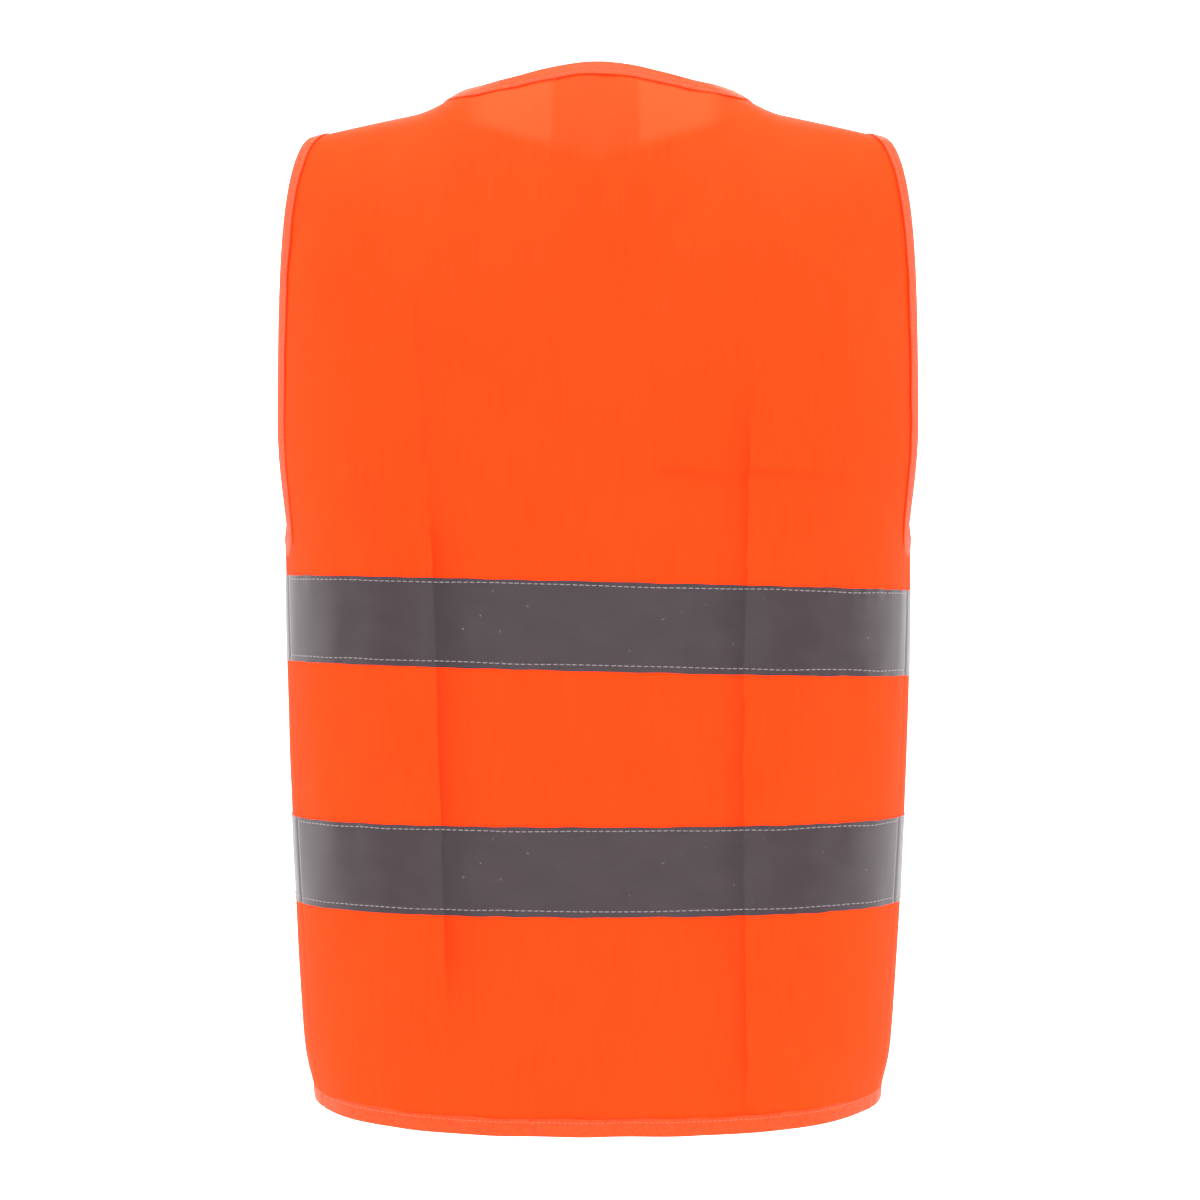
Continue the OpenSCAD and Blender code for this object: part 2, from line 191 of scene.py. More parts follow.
HALF_CHEST = 0.1847
HALF_DEPTH = 0.112
BODY_LENGTH = 0.590
ARMHOLE_DEPTH = 0.259
ARMHOLE_CUT = 0.42              # share of the half depth that each armhole edge is cut in
ARMHOLE_ROUND = 0.3             # share of the armhole's height taken by its round bottom
SEAM_TOP_BACK = 0.27            # side seam behind the middle, share of the half depth
SEAM_HEM_BACK = 0.42
HEM_TAPER = 0.0134
HEM_PINCH = 0.004
TAPER_REACH = 0.018
HEM_RISE = 0.007
HALF_TIP = 0.1685
TIP_DROP = 0.017
SHOULDER_SLOPE = 0.2
NECK_RISE = 0.036
RISE_REACH = 0.108
NAPE_ROUND = 0.030
HALF_NECK = 0.0845
NECK_BACK = 0.066
V_DEPTH = 0.238
V_CORNER = 0.11
LAP_WIDTH = 0.040
LAP_LIFT = 0.0044
SECTION_N = 2.4                 # exponents of the superellipses, as in the frame's design
SHOULDER_N = 2.6
NECK_N = 2.3
TIP_N = 6

TAPE_W = 0.050
UPPER_TAPE_DROP = 0.2825
LOWER_TAPE_DROP = 0.419
UPPER_TAPE_LEAN = 0.009
BINDING_W = 0.009

FABRIC_OUT = 0.0010             # outer and inner face of the knit, from the draped surface
FABRIC_IN = 0.0004
TAPE_T = 0.00025
BINDING_T = 0.00055
STITCH_PITCH = 0.0036
STITCH_LENGTH = 0.0031
STITCH_W = 0.00055

CHEST_Z = -ARMHOLE_DEPTH
SKIRT_H = BODY_LENGTH - ARMHOLE_DEPTH


# ---- The draped surface ----------------------------------------------------------------------
# A place has a face (BACK or FRONT), an angle phi from that face's centre line (0) to the
# side (90) and past it, and a level v: -1 hem, 0 armhole bottom, 1 shoulder seam.

def mix(a, b, w):
    return a + (b - a) * w


def smooth(a):
    c = np.clip(a, 0, 1)
    return c * c * (3 - 2 * c)


def signed_pow(a, e):
    return np.sign(a) * np.abs(a) ** e


def sin_d(a):
    return np.sin(np.radians(a))


def cos_d(a):
    return np.cos(np.radians(a))


def height_share(v):
    return np.clip(sin_d(90 * np.clip(v, 0, 1)), 0, 1) ** (2 / SHOULDER_N)


def depth_share(v):
    return np.clip(cos_d(90 * np.clip(v, 0, 1)), 0, 1) ** (2 / SHOULDER_N)


def level_from_share(s):
    return np.degrees(np.arcsin(np.clip(s, 0, 1) ** (SHOULDER_N / 2))) / 90


def round_share(v):
    q = np.clip(height_share(v) / ARMHOLE_ROUND, 0, 1)
    return np.sqrt(1 - (1 - q) ** 2)


def half_width(v):
    turn = np.clip(1 - height_share(v) ** TIP_N, 0, 1) ** 0.55
    edge = HALF_TIP + (HALF_CHEST - HALF_TIP) * turn
    above = edge / (1 - (ARMHOLE_CUT * round_share(v)) ** SECTION_N) ** (1 / SECTION_N)
    low = np.clip(v, -1, 0)
    pinch = HEM_PINCH * np.exp(-(((1 + low) * SKIRT_H / TAPER_REACH) ** 2))
    below = HALF_CHEST - HEM_TAPER * low ** 2 - pinch
    return np.where(v > 0, above, below)


def shoulder_z(x):
    away = np.sqrt(x * x + NAPE_ROUND ** 2) - NAPE_ROUND / 10
    rise = NECK_RISE * np.clip(cos_d(90 * np.clip(np.abs(x) / RISE_REACH, 0, 1)), 0, 1) ** 1.6
    return SHOULDER_SLOPE * (HALF_TIP - away) - TIP_DROP + rise


def hem_z(x):
    return HEM_RISE * (np.abs(x) / HALF_CHEST) ** 4 - BODY_LENGTH


def base_spot(face, phi, v):
    """A place on the draped surface before any fold, as an array of points."""
    x = half_width(v) * signed_pow(sin_d(phi), 2 / SECTION_N)
    y = HALF_DEPTH * depth_share(v) * signed_pow(cos_d(phi), 2 / SECTION_N)
    above = mix(CHEST_Z, shoulder_z(x), height_share(v))
    below = mix(CHEST_Z, hem_z(x), -v)
    z = np.where(v > 0, above, below)
    return np.stack(np.broadcast_arrays(x, face * y, z), axis=-1)


def phi_at_x(x, v):
    return np.degrees(np.arcsin(signed_pow(np.clip(x / half_width(v), -1, 1), SECTION_N / 2)))


def phi_at_depth(share):
    return np.degrees(np.arccos(signed_pow(share, SECTION_N / 2)))


def seam_back(v):
    return mix(SEAM_TOP_BACK, SEAM_HEM_BACK, np.clip(-v, 0, 1) ** 0.6)


def back_side(v):
    return phi_at_depth(mix(seam_back(v), ARMHOLE_CUT, round_share(v)))


def front_side(v):
    return phi_at_depth(mix(-seam_back(v), ARMHOLE_CUT, round_share(v)))


def v_at_z(z):
    return (z - CHEST_Z) / SKIRT_H


def front_edge_x(v):
    level = np.where(v > 0, height_share(v), v * SKIRT_H / ARMHOLE_DEPTH)
    start = 1 - V_DEPTH / ARMHOLE_DEPTH
    w = (level - start) / (1 - start)
    soft = (w + np.sqrt(w * w + V_CORNER ** 2)) / (1 + np.sqrt(1 + V_CORNER ** 2))
    return mix(-LAP_WIDTH / 2, HALF_NECK, 0.6 * soft + 0.4 * sin_d(90 * np.clip(soft, None, 1)))


def lift(x):
    """The left front lies over the right one, so it stands out near the centre."""
    return LAP_LIFT * (1 - smooth((x - LAP_WIDTH / 2 - 0.006) / 0.050))


def neck_level(f):
    """Level at which the column of the back's share f reaches the neck curve."""
    low = np.full_like(f, 0.5)
    high = np.ones_like(f)
    for _ in range(24):
        mid = (low + high) / 2
        p = base_spot(BACK, f * back_side(mid), mid)
        out = np.abs(p[..., 0] / HALF_NECK) ** NECK_N + np.abs(p[..., 1] / NECK_BACK) ** NECK_N > 1
        low = np.where(out, mid, low)
        high = np.where(out, high, mid)
    return low


NECK_F = float(phi_at_x(HALF_NECK, 1.0) / back_side(1.0))


# ---- Folds, creases and puckers --------------------------------------------------------------

def waves(seed, count, short, long):
    """A smooth repeatable noise of one variable, about -1 to 1."""
    rng = np.random.default_rng(seed)
    lengths = short * (long / short) ** rng.random(count)
    phases = rng.random(count) * 2 * pi
    heights = rng.uniform(0.5, 1.0, count) / np.sqrt(count)

    def value(t):
        return sum(h * np.sin(2 * pi * t / n + p) for h, n, p in zip(heights, lengths, phases))

    return value


PUCKER = [waves(seed, 7, 0.007, 0.022) for seed in (11, 12, 13, 14)]
DRAPE_X = waves(21, 6, 0.07, 0.19)
DRAPE_Z = waves(22, 5, 0.22, 0.55)
RIPPLE_X = waves(23, 7, 0.022, 0.055)
RIPPLE_Z = waves(24, 6, 0.05, 0.14)
HEM_WAVE = waves(25, 5, 0.045, 0.12)


def bell(a, width):
    return np.exp(-((a / width) ** 2))


def between(z, low, high, soft):
    return smooth((z - low) / soft) * smooth((high - z) / soft)


def crease(x, line, depth, inner, outer=None):
    """A pressed valley fold, steeper on the side of the centre line than on the other."""
    s = (x - line) * np.sign(line)
    return -depth * np.where(s < 0, np.exp(s / inner), np.exp(-s / (outer or inner)))


def tape_edges(x):
    """Heights of the four long edges of the two tapes at x."""
    lean = UPPER_TAPE_LEAN / 2 * x / HALF_CHEST
    return [
        lean - UPPER_TAPE_DROP, lean - UPPER_TAPE_DROP - TAPE_W,
        -LOWER_TAPE_DROP + 0 * x, -LOWER_TAPE_DROP - TAPE_W + 0 * x,
    ]


def crease_lines(z):
    """The two long packing creases: x on the left and x on the right, at height z."""
    left = np.interp(z, [-0.590, -0.517, -0.270, -0.138], [0.083, 0.084, 0.092, 0.103])
    right = np.interp(z, [-0.566, -0.380, -0.191, -0.050], [-0.0828, -0.0806, -0.0845, -0.088])
    return left, right


def fold_shade(x, z):
    """Painted shade: how much darker the cloth is coloured on the inner side of each pressed crease, from 0 to 1."""
    left, right = crease_lines(z)
    from_left = left - x
    from_right = x - right
    on_left = np.where(from_left > -0.0006, np.exp(-from_left / 0.010), 0)
    on_right = np.where(from_right > -0.0006, np.exp(-from_right / 0.008), 0)
    shade = on_left * mix(0.25, 1.0, between(z, -0.530, -0.225, 0.05)) * between(z, -0.560, -0.100, 0.05)
    shade = shade + 0.75 * on_right * between(z, -0.600, -0.160, 0.06)
    below = -0.221 - z
    across = np.where(below > -0.0004, np.exp(-below / 0.004), 0) * between(x, -0.150, -0.005, 0.03)
    return np.clip(shade + 0.45 * across, 0, 1)


def nape_light(x, z):
    """Painted light, as of light coming through the knit at the nape, with less of it as the label's painted shadow
    where the label hangs inside.
    """
    line = -0.049 + 0.35 * np.abs(x - 0.0015)
    lit = smooth((z - line) / 0.010) * (1 - smooth((np.abs(x - 0.0015) - 0.060) / 0.020))
    # painted shadow of the label that hangs inside
    label = 1 - smooth((np.abs(x - 0.0015) - 0.0250) / 0.0012)
    return lit * mix(1.0, 0.35, label)


# Each long crease: its line (0 left, 1 right), depth, reach inwards and outwards, and the span
# of heights that it runs over with the distance it fades out in
LONG_CREASES = (
    (0, 0.0026, 0.0095, 0.016, (-0.540, -0.200, 0.06)),
    (0, 0.0008, 0.0060, 0.012, (-0.260, -0.100, 0.04)),
    (1, 0.0021, 0.0090, 0.015, (-0.600, -0.240, 0.06)),
    (1, 0.0007, 0.0060, 0.012, (-0.300, -0.120, 0.05)),
)
# Each cross crease: its height, depth and reach, and the span of x that it runs over
CROSS_CREASES = (
    (-0.221, 0.0007, 0.0040, (-0.150, -0.005, 0.03)),
    (-0.186, 0.0003, 0.0030, (0.128, 0.152, 0.006)),
)
SIDE_FOLD_X = 0.139             # soft fold down each side of the back
SIDE_FOLD_DEPTH = 0.0011
DRAPE_DEPTH = 0.0011
RIPPLE_DEPTH = 0.00035
PUCKER_DEPTH = 0.00022          # beside the tapes' stitching
HEM_WAVE_DEPTH = 0.0010
WRINKLE_DEPTH = 0.0010          # short slanting wrinkle beside the left crease, above the hem
FRONT_SHARE = 0.8               # the fronts' folds, compared with the back's


def relief(face, x, z):
    """How far the cloth stands off the draped surface at x and z."""
    lines = crease_lines(z)
    h = 0
    for line, depth, inner, outer, span in LONG_CREASES:
        h = h + crease(x, lines[line], depth, inner, outer) * between(z, *span)
    for height, depth, reach, span in CROSS_CREASES:
        h = h + crease(z, height, depth, reach) * between(x, *span)
    side_fold = bell(np.abs(x) - SIDE_FOLD_X, 0.016) * between(z, -0.575, -0.240, 0.06)
    h = h - SIDE_FOLD_DEPTH * side_fold
    h = h + DRAPE_DEPTH * DRAPE_X(x + 0.25 * z) * (0.5 + 0.5 * DRAPE_Z(z + 0.3 * x))
    h = h + RIPPLE_DEPTH * RIPPLE_X(x + 0.1 * z) * RIPPLE_Z(z)
    edges = tape_edges(x)
    for edge, pucker, down in zip(edges, PUCKER, (1, -1, 1, -1)):
        outside = down * (z - edge)
        reach = np.where(outside > 0, np.exp(-outside / 0.011), np.exp(outside / 0.004))
        h = h + PUCKER_DEPTH * pucker(x) * reach
    hem = np.exp(-(z + BODY_LENGTH) / 0.035)
    h = h + HEM_WAVE_DEPTH * HEM_WAVE(x) * hem * smooth((HALF_CHEST - np.abs(x)) / 0.06)
    wrinkle_line = 0.094 + 0.35 * (z + 0.490)
    h = h - WRINKLE_DEPTH * bell(x - wrinkle_line, 0.0035) * between(z, -0.520, -0.472, 0.02)
    return h * (1 if face == BACK else FRONT_SHARE)


def edge_fade(face, phi, v):
    """1 on the panels, falling to 0 at the seams, so that neighbours still meet."""
    side = back_side(v) if face == BACK else front_side(v)
    beside = smooth((1 - np.abs(phi) / side) / 0.10)
    over = smooth((1 - height_share(v)) / 0.06)
    return beside * over


def seam_dip(face, phi, v):
    """The groove along the side and shoulder seams."""
    side = back_side(v) if face == BACK else front_side(v)
    below = np.abs(side - np.abs(phi)) * HALF_DEPTH / 57
    dip = np.where(v < 0, bell(below, 0.0018), 0)
    return -0.0005 * dip


def place(face, phi, v, off, side=1):
    """A place on the folded cloth, a distance off outside it. side is -1 on the right front."""
    phi = np.asarray(phi, float)
    v = np.asarray(v, float)
    step_phi = 0.25
    step_v = 0.002
    p = base_spot(face, phi, v)
    v_up = np.minimum(v + step_v, 1)
    along = base_spot(face, phi + step_phi, v) - base_spot(face, phi - step_phi, v)
    up = base_spot(face, phi, v_up) - base_spot(face, phi, v - step_v)
    normal = unit(np.cross(along, up) * -face)
    x = p[..., 0] * side
    rise = relief(face, x, p[..., 2]) * edge_fade(face, phi, v) + seam_dip(face, phi, v)
    if face == FRONT and side == 1:
        rise = rise + lift(p[..., 0])
    q = p + normal * (rise + off)[..., None]
    return q * np.array([side, 1, 1])


# ---- Meshes ----------------------------------------------------------------------------------

def new_mesh(name, points, faces, material, uv=None, shades=None):
    mesh = bpy.data.meshes.new(name)
    mesh.from_pydata(points.reshape(-1, 3).tolist(), [], faces)
    mesh.validate()
    mesh.polygons.foreach_set("use_smooth", [True] * len(mesh.polygons))
    if uv is not None:
        layer = mesh.uv_layers.new(name="cloth")
        corner = np.zeros(len(mesh.loops), np.int32)
        mesh.loops.foreach_get("vertex_index", corner)
        layer.data.foreach_set("uv", uv.reshape(-1, 2)[corner].astype(np.float32).ravel())
    for shade_name, values in (shades or {}).items():
        attribute = mesh.attributes.new(shade_name, "FLOAT", "POINT")
        attribute.data.foreach_set("value", values.astype(np.float32).ravel())
    mesh.set_sharp_from_angle(angle=radians(50))
    mesh.materials.append(material)
    obj = bpy.data.objects.new(name, mesh)
    bpy.context.scene.collection.objects.link(obj)
    return obj


def grid_faces(rows, cols):
    i, j = np.meshgrid(np.arange(rows - 1), np.arange(cols - 1), indexing="ij")
    a = (i * cols + j).ravel()
    return np.stack([a, a + 1, a + 1 + cols, a + cols], axis=1)


def sheet_part(inner, outer):
    """Points, faces and cloth coordinates of a thin closed sheet between two grids of points."""
    rows, cols, _ = outer.shape
    half = rows * cols
    face = grid_faces(rows, cols)
    rim = np.concatenate([
        np.arange(cols - 1),
        np.arange(rows - 1) * cols + cols - 1,
        (rows - 1) * cols + np.arange(cols - 1, 0, -1),
        np.arange(rows - 1, 0, -1) * cols,
    ])
    nxt = np.roll(rim, -1)
    edge = np.stack([rim, nxt, nxt + half, rim + half], axis=1)
    i, j = rows // 2, cols // 2
    turn = np.cross(outer[i, j] - outer[i, j - 1], outer[i, j] - outer[i - 1, j])
    faces = np.concatenate([face[:, ::-1], face + half, edge])
    if turn @ (outer[i, j] - inner[i, j]) < 0:
        faces = faces[:, ::-1]
    points = np.concatenate([inner.reshape(-1, 3), outer.reshape(-1, 3)])
    across = np.linalg.norm(np.diff(outer, axis=1), axis=2)
    run = np.concatenate([np.zeros((rows, 1)), np.cumsum(across, axis=1)], axis=1)
    run = run - run[:, cols // 2][:, None]
    down = np.linalg.norm(np.diff(outer, axis=0), axis=2)
    rise = np.concatenate([np.zeros((1, cols)), np.cumsum(down, axis=0)], axis=0)
    uv = np.stack([run, rise], axis=-1).reshape(-1, 2)
    return points, faces, np.concatenate([uv, uv])


def closed_sheet(name, pairs, material, nape=False):
    """One piece made of thin closed sheets, each given as an inner and an outer grid."""
    parts = [sheet_part(inner, outer) for inner, outer in pairs]
    offsets = np.cumsum([0] + [len(part[0]) for part in parts])
    faces = np.concatenate([part[1] + offset for part, offset in zip(parts, offsets)])
    points = np.concatenate([part[0] for part in parts])
    cloth = np.concatenate([part[2] for part in parts])
    x, z = points[:, 0], points[:, 2]
    # painted shade along the pressed creases (fold) and painted light at the nape (nape), kept on the mesh for the
    # materials
    shades = {"fold": fold_shade(x, z), "nape": nape_light(x, z) * nape}
    return new_mesh(name, points, faces.tolist(), material, cloth, shades)


def swept(name, rings, material, closed=False):
    """A tube through rings of shape (stops, section, 3), capped unless it is closed."""
    stops, m, _ = rings.shape
    i = np.arange(stops if closed else stops - 1)
    k = np.arange(m)
    i, k = np.meshgrid(i, k, indexing="ij")
    a = i * m + k
    b = i * m + (k + 1) % m
    c = ((i + 1) % stops) * m + (k + 1) % m
    e = ((i + 1) % stops) * m + k
    faces = np.stack([a, e, c, b], axis=-1).reshape(-1, 4)
    centre = rings[0].mean(axis=0)
    ahead = rings[1].mean(axis=0) - centre
    flip = np.cross(rings[0][0] - centre, rings[0][1] - centre) @ ahead > 0
    if flip:
        faces = faces[:, ::-1]
    around = run_along(rings[0])
    run = run_along(rings[:, 0])
    uv = np.stack(np.broadcast_arrays(run[:, None], around[None, :]), axis=-1)
    faces = faces.tolist()
    if not closed:
        first = list(range(m))
        last = [(stops - 1) * m + q for q in range(m)]
        faces.append(first if flip else first[::-1])
        faces.append(last[::-1] if flip else last)
    return new_mesh(name, rings, faces, material, uv)


def unit(a):
    return a / np.linalg.norm(a, axis=-1, keepdims=True)


def run_along(points):
    """Length along a line of points, at each of them."""
    return np.concatenate([[0], np.cumsum(np.linalg.norm(np.diff(points, axis=0), axis=1))])


def tangents(points, closed=False):
    if closed:
        return unit(np.roll(points, -1, axis=0) - np.roll(points, 1, axis=0))
    return unit(np.gradient(points, axis=0))


# ---- Edges: bindings, stitches and tapes -----------------------------------------------------

class Path:
    """A run of places on the cloth: points on its middle, the way inwards, and the outward normal."""

    def __init__(self, face, side, phi, v, phi_in, v_in, closed=False):
        middle = (FABRIC_OUT + FABRIC_IN) / 2
        self.points = place(face, phi, v, middle, side)
        over = place(face, phi, v, middle + 0.002, side)
        inner = place(face, phi_in, v_in, middle, side)
        self.towards = inner - self.points
        self.normal = unit(over - self.points)
        self.closed = closed

    def joined(self, other):
        """This path followed by another one, as one closed loop."""
        path = Path.__new__(Path)
        path.points = np.concatenate([self.points, other.points])
        path.towards = np.concatenate([self.towards, other.towards])
        path.normal = np.concatenate([self.normal, other.normal])
        path.closed = True
        return path

    def frame(self):
        along = tangents(self.points, self.closed)
        inward = unit(np.cross(self.normal, along))
        facing = np.sign(np.sum(inward * self.towards, axis=1, keepdims=True))
        return along, inward * np.where(facing == 0, 1, facing)


def binding(name, path, material, seed):
    """A folded binding, U-shaped in section with a round edge, puckered by its stitching."""
    along, inward = path.frame()
    run = run_along(path.points)
    gap = (FABRIC_OUT - FABRIC_IN) / 2 + 0.0001
    ripple = waves(seed, 6, 0.006, 0.018)(run)
    wobble = waves(seed + 50, 5, 0.02, 0.06)(run)
    legs = np.linspace(1, 0.06, 8)
    bends = np.radians(np.linspace(80, -80, 9))
    outer = [(q * BINDING_W, gap + BINDING_T) for q in legs]
    outer += [(-0.0002 - (gap + BINDING_T) * np.cos(b), (gap + BINDING_T) * np.sin(b)) for b in bends]
    outer += [(q * BINDING_W, -gap - BINDING_T) for q in legs[::-1]]
    inner = [(q * BINDING_W, -gap) for q in legs]
    inner += [(q * BINDING_W, gap) for q in legs[::-1]]
    section = np.array(outer + inner)
    in_share = np.clip(section[:, 0] / BINDING_W, 0, 1)
    is_outer = np.abs(section[:, 1]) > gap + BINDING_T / 2
    crown = bell(in_share - 0.45, 0.30) * 0.00022 - bell(in_share - 0.80, 0.07) * 0.00018
    reach = section[None, :, 0] + wobble[:, None] * 0.00035 * in_share[None, :] ** 2
    stand = section[None, :, 1] + np.sign(section[None, :, 1]) * np.where(
        is_outer, crown * (1 + 0.8 * ripple[:, None]), 0)
    rings = (path.points[:, None] + reach[..., None] * inward[:, None]
             + stand[..., None] * path.normal[:, None])
    return swept(name, rings, material, path.closed)


def resampled(values, run, at):
    return np.stack([np.interp(at, run, values[:, k]) for k in range(3)], axis=1)


def stitches(name, rows, material, pitch=STITCH_PITCH, length=STITCH_LENGTH, seed=5):
    """Lockstitches along rows of (points, outward directions): short threads that dive in."""
    rng = np.random.default_rng(seed)
    share = np.linspace(0, 1, 6)
    around = np.radians(np.arange(0, 360, 60))
    swell = np.sin(share * pi)
    width = STITCH_W / 2 * (0.45 + 0.55 * swell ** 0.5)
    height = STITCH_W * (0.55 * swell ** 0.6 - 0.30)
    i, k = np.meshgrid(np.arange(5), np.arange(6), indexing="ij")
    a = i * 6 + k
    b = i * 6 + (k + 1) % 6
    quads = np.stack([a, b, b + 6, a + 6], axis=-1).reshape(-1, 4)
    caps = [list(range(5, -1, -1)), list(range(30, 36))]
    points, faces, uv = [], [], []
    for line, up_line in rows:
        run = run_along(line)
        for start in np.arange(pitch / 2, run[-1] - length, pitch):
            at = start + rng.normal(0, pitch * 0.03) + share * length
            mid = resampled(line, run, at)
            up = unit(resampled(up_line, run, at))
            beside = unit(np.cross(up, tangents(mid)))
            aside = (share - 0.5) * STITCH_W * rng.normal(0.1, 0.25)
            flat = aside[:, None] + width[:, None] * np.cos(around)
            tall = height[:, None] + 0.6 * width[:, None] * np.sin(around)
            ring = mid[:, None] + flat[..., None] * beside[:, None] + tall[..., None] * up[:, None]
            first = 36 * len(points)
            points.append(ring.reshape(-1, 3))
            faces += (quads + first).tolist()
            faces += [[first + q for q in cap] for cap in caps]
            turn = np.broadcast_to(around * STITCH_W / 2, (6, 6))
            uv.append(np.stack([at[:, None] + 0 * turn, turn], axis=-1).reshape(-1, 2))
    return new_mesh(name, np.concatenate(points), faces, material, np.concatenate(uv))


def stitch_row(path, inset):
    """A row of places for stitches on a binding, inset from the folded edge."""
    _, inward = path.frame()
    stand = (FABRIC_OUT - FABRIC_IN) / 2 + BINDING_T + 0.00016
    return path.points + inward * inset + path.normal * stand, path.normal


# ---- Materials -------------------------------------------------------------------------------

class Nodes:
    """A material's node tree, with short ways to add and join nodes."""

    def __init__(self, name):
        self.material = bpy.data.materials.new(name)
        self.material.use_nodes = True
        self.tree = self.material.node_tree
        self.shader = self.tree.nodes["Principled BSDF"]
        self.output = self.tree.nodes["Material Output"]

    def add(self, kind, **settings):
        node = self.tree.nodes.new(kind)
        for key, value in settings.items():
            setattr(node, key, value)
        return node

    def link(self, source, target):
        self.tree.links.new(source, target)

    def cloth(self, scale_x, scale_y):
        """Cloth coordinates in metres, times a scale along each way."""
        uv = self.add("ShaderNodeUVMap", uv_map="cloth")
        scaled = self.add("ShaderNodeVectorMath", operation="MULTIPLY")
        scaled.inputs[1].default_value = (scale_x, scale_y, 1)
        self.link(uv.outputs["UV"], scaled.inputs[0])
        return scaled.outputs[0]

    def noise(self, vector, scale, detail=3, roughness=0.5):
        node = self.add("ShaderNodeTexNoise")
        node.inputs["Scale"].default_value = scale
        node.inputs["Detail"].default_value = detail
        node.inputs["Roughness"].default_value = roughness
        if vector is not None:
            self.link(vector, node.inputs["Vector"])
        return node.outputs["Fac"]

    def wave(self, vector, scale, distortion=0.0, direction="X"):
        node = self.add("ShaderNodeTexWave", bands_direction=direction)
        node.inputs["Scale"].default_value = scale
        node.inputs["Distortion"].default_value = distortion
        node.inputs["Detail Scale"].default_value = 0.6
        self.link(vector, node.inputs["Vector"])
        return node.outputs["Fac"]

    def ramp(self, value, stops):
        node = self.add("ShaderNodeValToRGB")
        elements = node.color_ramp.elements
        while len(elements) < len(stops):
            elements.new(0.5)
        for element, (at, colour) in zip(elements, stops):
            element.position = at
            element.color = (*colour, 1)
        self.link(value, node.inputs["Fac"])
        return node.outputs["Color"]

    def shaded(self, colour, attribute, towards, amount):
        """colour, mixed towards another one where the mesh's attribute says so."""
        value = self.add("ShaderNodeAttribute", attribute_name=attribute)
        blend = self.add("ShaderNodeMix", data_type="RGBA")
        self.link(self.math("MULTIPLY", value.outputs["Fac"], amount), blend.inputs["Factor"])
        self.link(colour, blend.inputs["A"])
        blend.inputs["B"].default_value = (*towards, 1)
        return blend.outputs["Result"]

    def math(self, operation, a, b):
        node = self.add("ShaderNodeMath", operation=operation)
        for socket, value in zip(node.inputs, (a, b)):
            if isinstance(value, (int, float)):
                socket.default_value = value
            else:
                self.link(value, socket)
        return node.outputs[0]

    def bump(self, height, strength, distance, after=None):
        node = self.add("ShaderNodeBump")
        node.inputs["Strength"].default_value = strength
        node.inputs["Distance"].default_value = distance
        self.link(height, node.inputs["Height"])
        if after is not None:
            self.link(after, node.inputs["Normal"])
        return node.outputs["Normal"]

    def glow(self, colour, strength):
        self.shader.inputs["Emission Color"].default_value = (*colour, 1)
        self.shader.inputs["Emission Strength"].default_value = strength

    def set(self, **values):
        for key, value in values.items():
            self.shader.inputs[key.replace("_", " ")].default_value = value


ORANGE = (1.0, 0.072, 0.0084)
ORANGE_LOW = (0.97, 0.061, 0.0062)
GLOW_THROUGH = (1.0, 0.17, 0.035)  # light that has come through one layer of knit
RIB_PITCH = 0.0011


def knit_material(name, light, dark, see_through, glow):
    """Warp-knitted polyester: fine vertical ribs, small loops and faint uneven yarns."""
    n = Nodes(name)
    ribs = n.wave(n.cloth(1 / RIB_PITCH, 1 / 0.05), 0.3183, 0.6)
    yarn = n.noise(n.cloth(1 / 0.0016, 1 / 0.030), 1.0, 2)
    cloud = n.noise(n.cloth(1 / 0.050, 1 / 0.090), 1.0, 3)
    loops = n.wave(n.cloth(1 / 0.004, 1 / 0.0009), 0.3183, 0.8, "Y")
    tone = n.math("ADD", n.math("MULTIPLY", yarn, 0.55), n.math("MULTIPLY", cloud, 0.45))
    colour = n.ramp(tone, [(0.36, dark), (0.62, light)])
    # painted shade: the knit coloured darker along the pressed creases
    colour = n.shaded(colour, "fold", (0.62, 0.034, 0.004), 0.9)
    # painted light: the knit coloured lighter at the nape, less so in the label's painted shadow
    colour = n.shaded(colour, "nape", (1.0, 0.140, 0.045), 0.45)
    n.link(colour, n.shader.inputs["Base Color"])
    fine = n.bump(ribs, 0.35, 0.00012)
    n.link(n.bump(loops, 0.2, 0.00006, fine), n.shader.inputs["Normal"])
    n.link(n.ramp(yarn, [(0.3, (0.62,) * 3), (0.7, (0.76,) * 3)]), n.shader.inputs["Roughness"])
    n.set(Sheen_Weight=0.02, Sheen_Roughness=0.45, Specular_IOR_Level=0.07)
    n.shader.inputs["Sheen Tint"].default_value = (1.0, 0.45, 0.2, 1)
    n.glow((1.0, 0.02, 0.0), glow)
    glowing = n.add("ShaderNodeBsdfTranslucent")
    glowing.inputs["Color"].default_value = (*GLOW_THROUGH, 1)
    both = n.add("ShaderNodeMixShader")
    both.inputs["Fac"].default_value = see_through
    n.link(n.shader.outputs[0], both.inputs[1])
    n.link(glowing.outputs[0], both.inputs[2])
    n.link(both.outputs[0], n.output.inputs["Surface"])
    return n.material


def binding_material():
    """Flat-woven polyester tape folded over the edges, a little pinker than the knit."""
    n = Nodes("binding_weave")
    weave = n.wave(n.cloth(1 / 0.0008, 1 / 0.0008), 0.3183, 0.4, "DIAGONAL")
    uneven = n.noise(n.cloth(1 / 0.004, 1 / 0.002), 1.0, 3)
    colour = n.ramp(uneven, [(0.35, (0.95, 0.048, 0.009)), (0.65, (1.0, 0.070, 0.014))])
    n.link(colour, n.shader.inputs["Base Color"])
    n.link(n.bump(weave, 0.35, 0.00010), n.shader.inputs["Normal"])
    n.link(n.ramp(uneven, [(0.3, (0.5,) * 3), (0.7, (0.65,) * 3)]), n.shader.inputs["Roughness"])
    n.set(Sheen_Weight=0.03, Sheen_Roughness=0.4, Specular_IOR_Level=0.12)
    n.glow((1.0, 0.03, 0.01), 0.25)
    return n.material


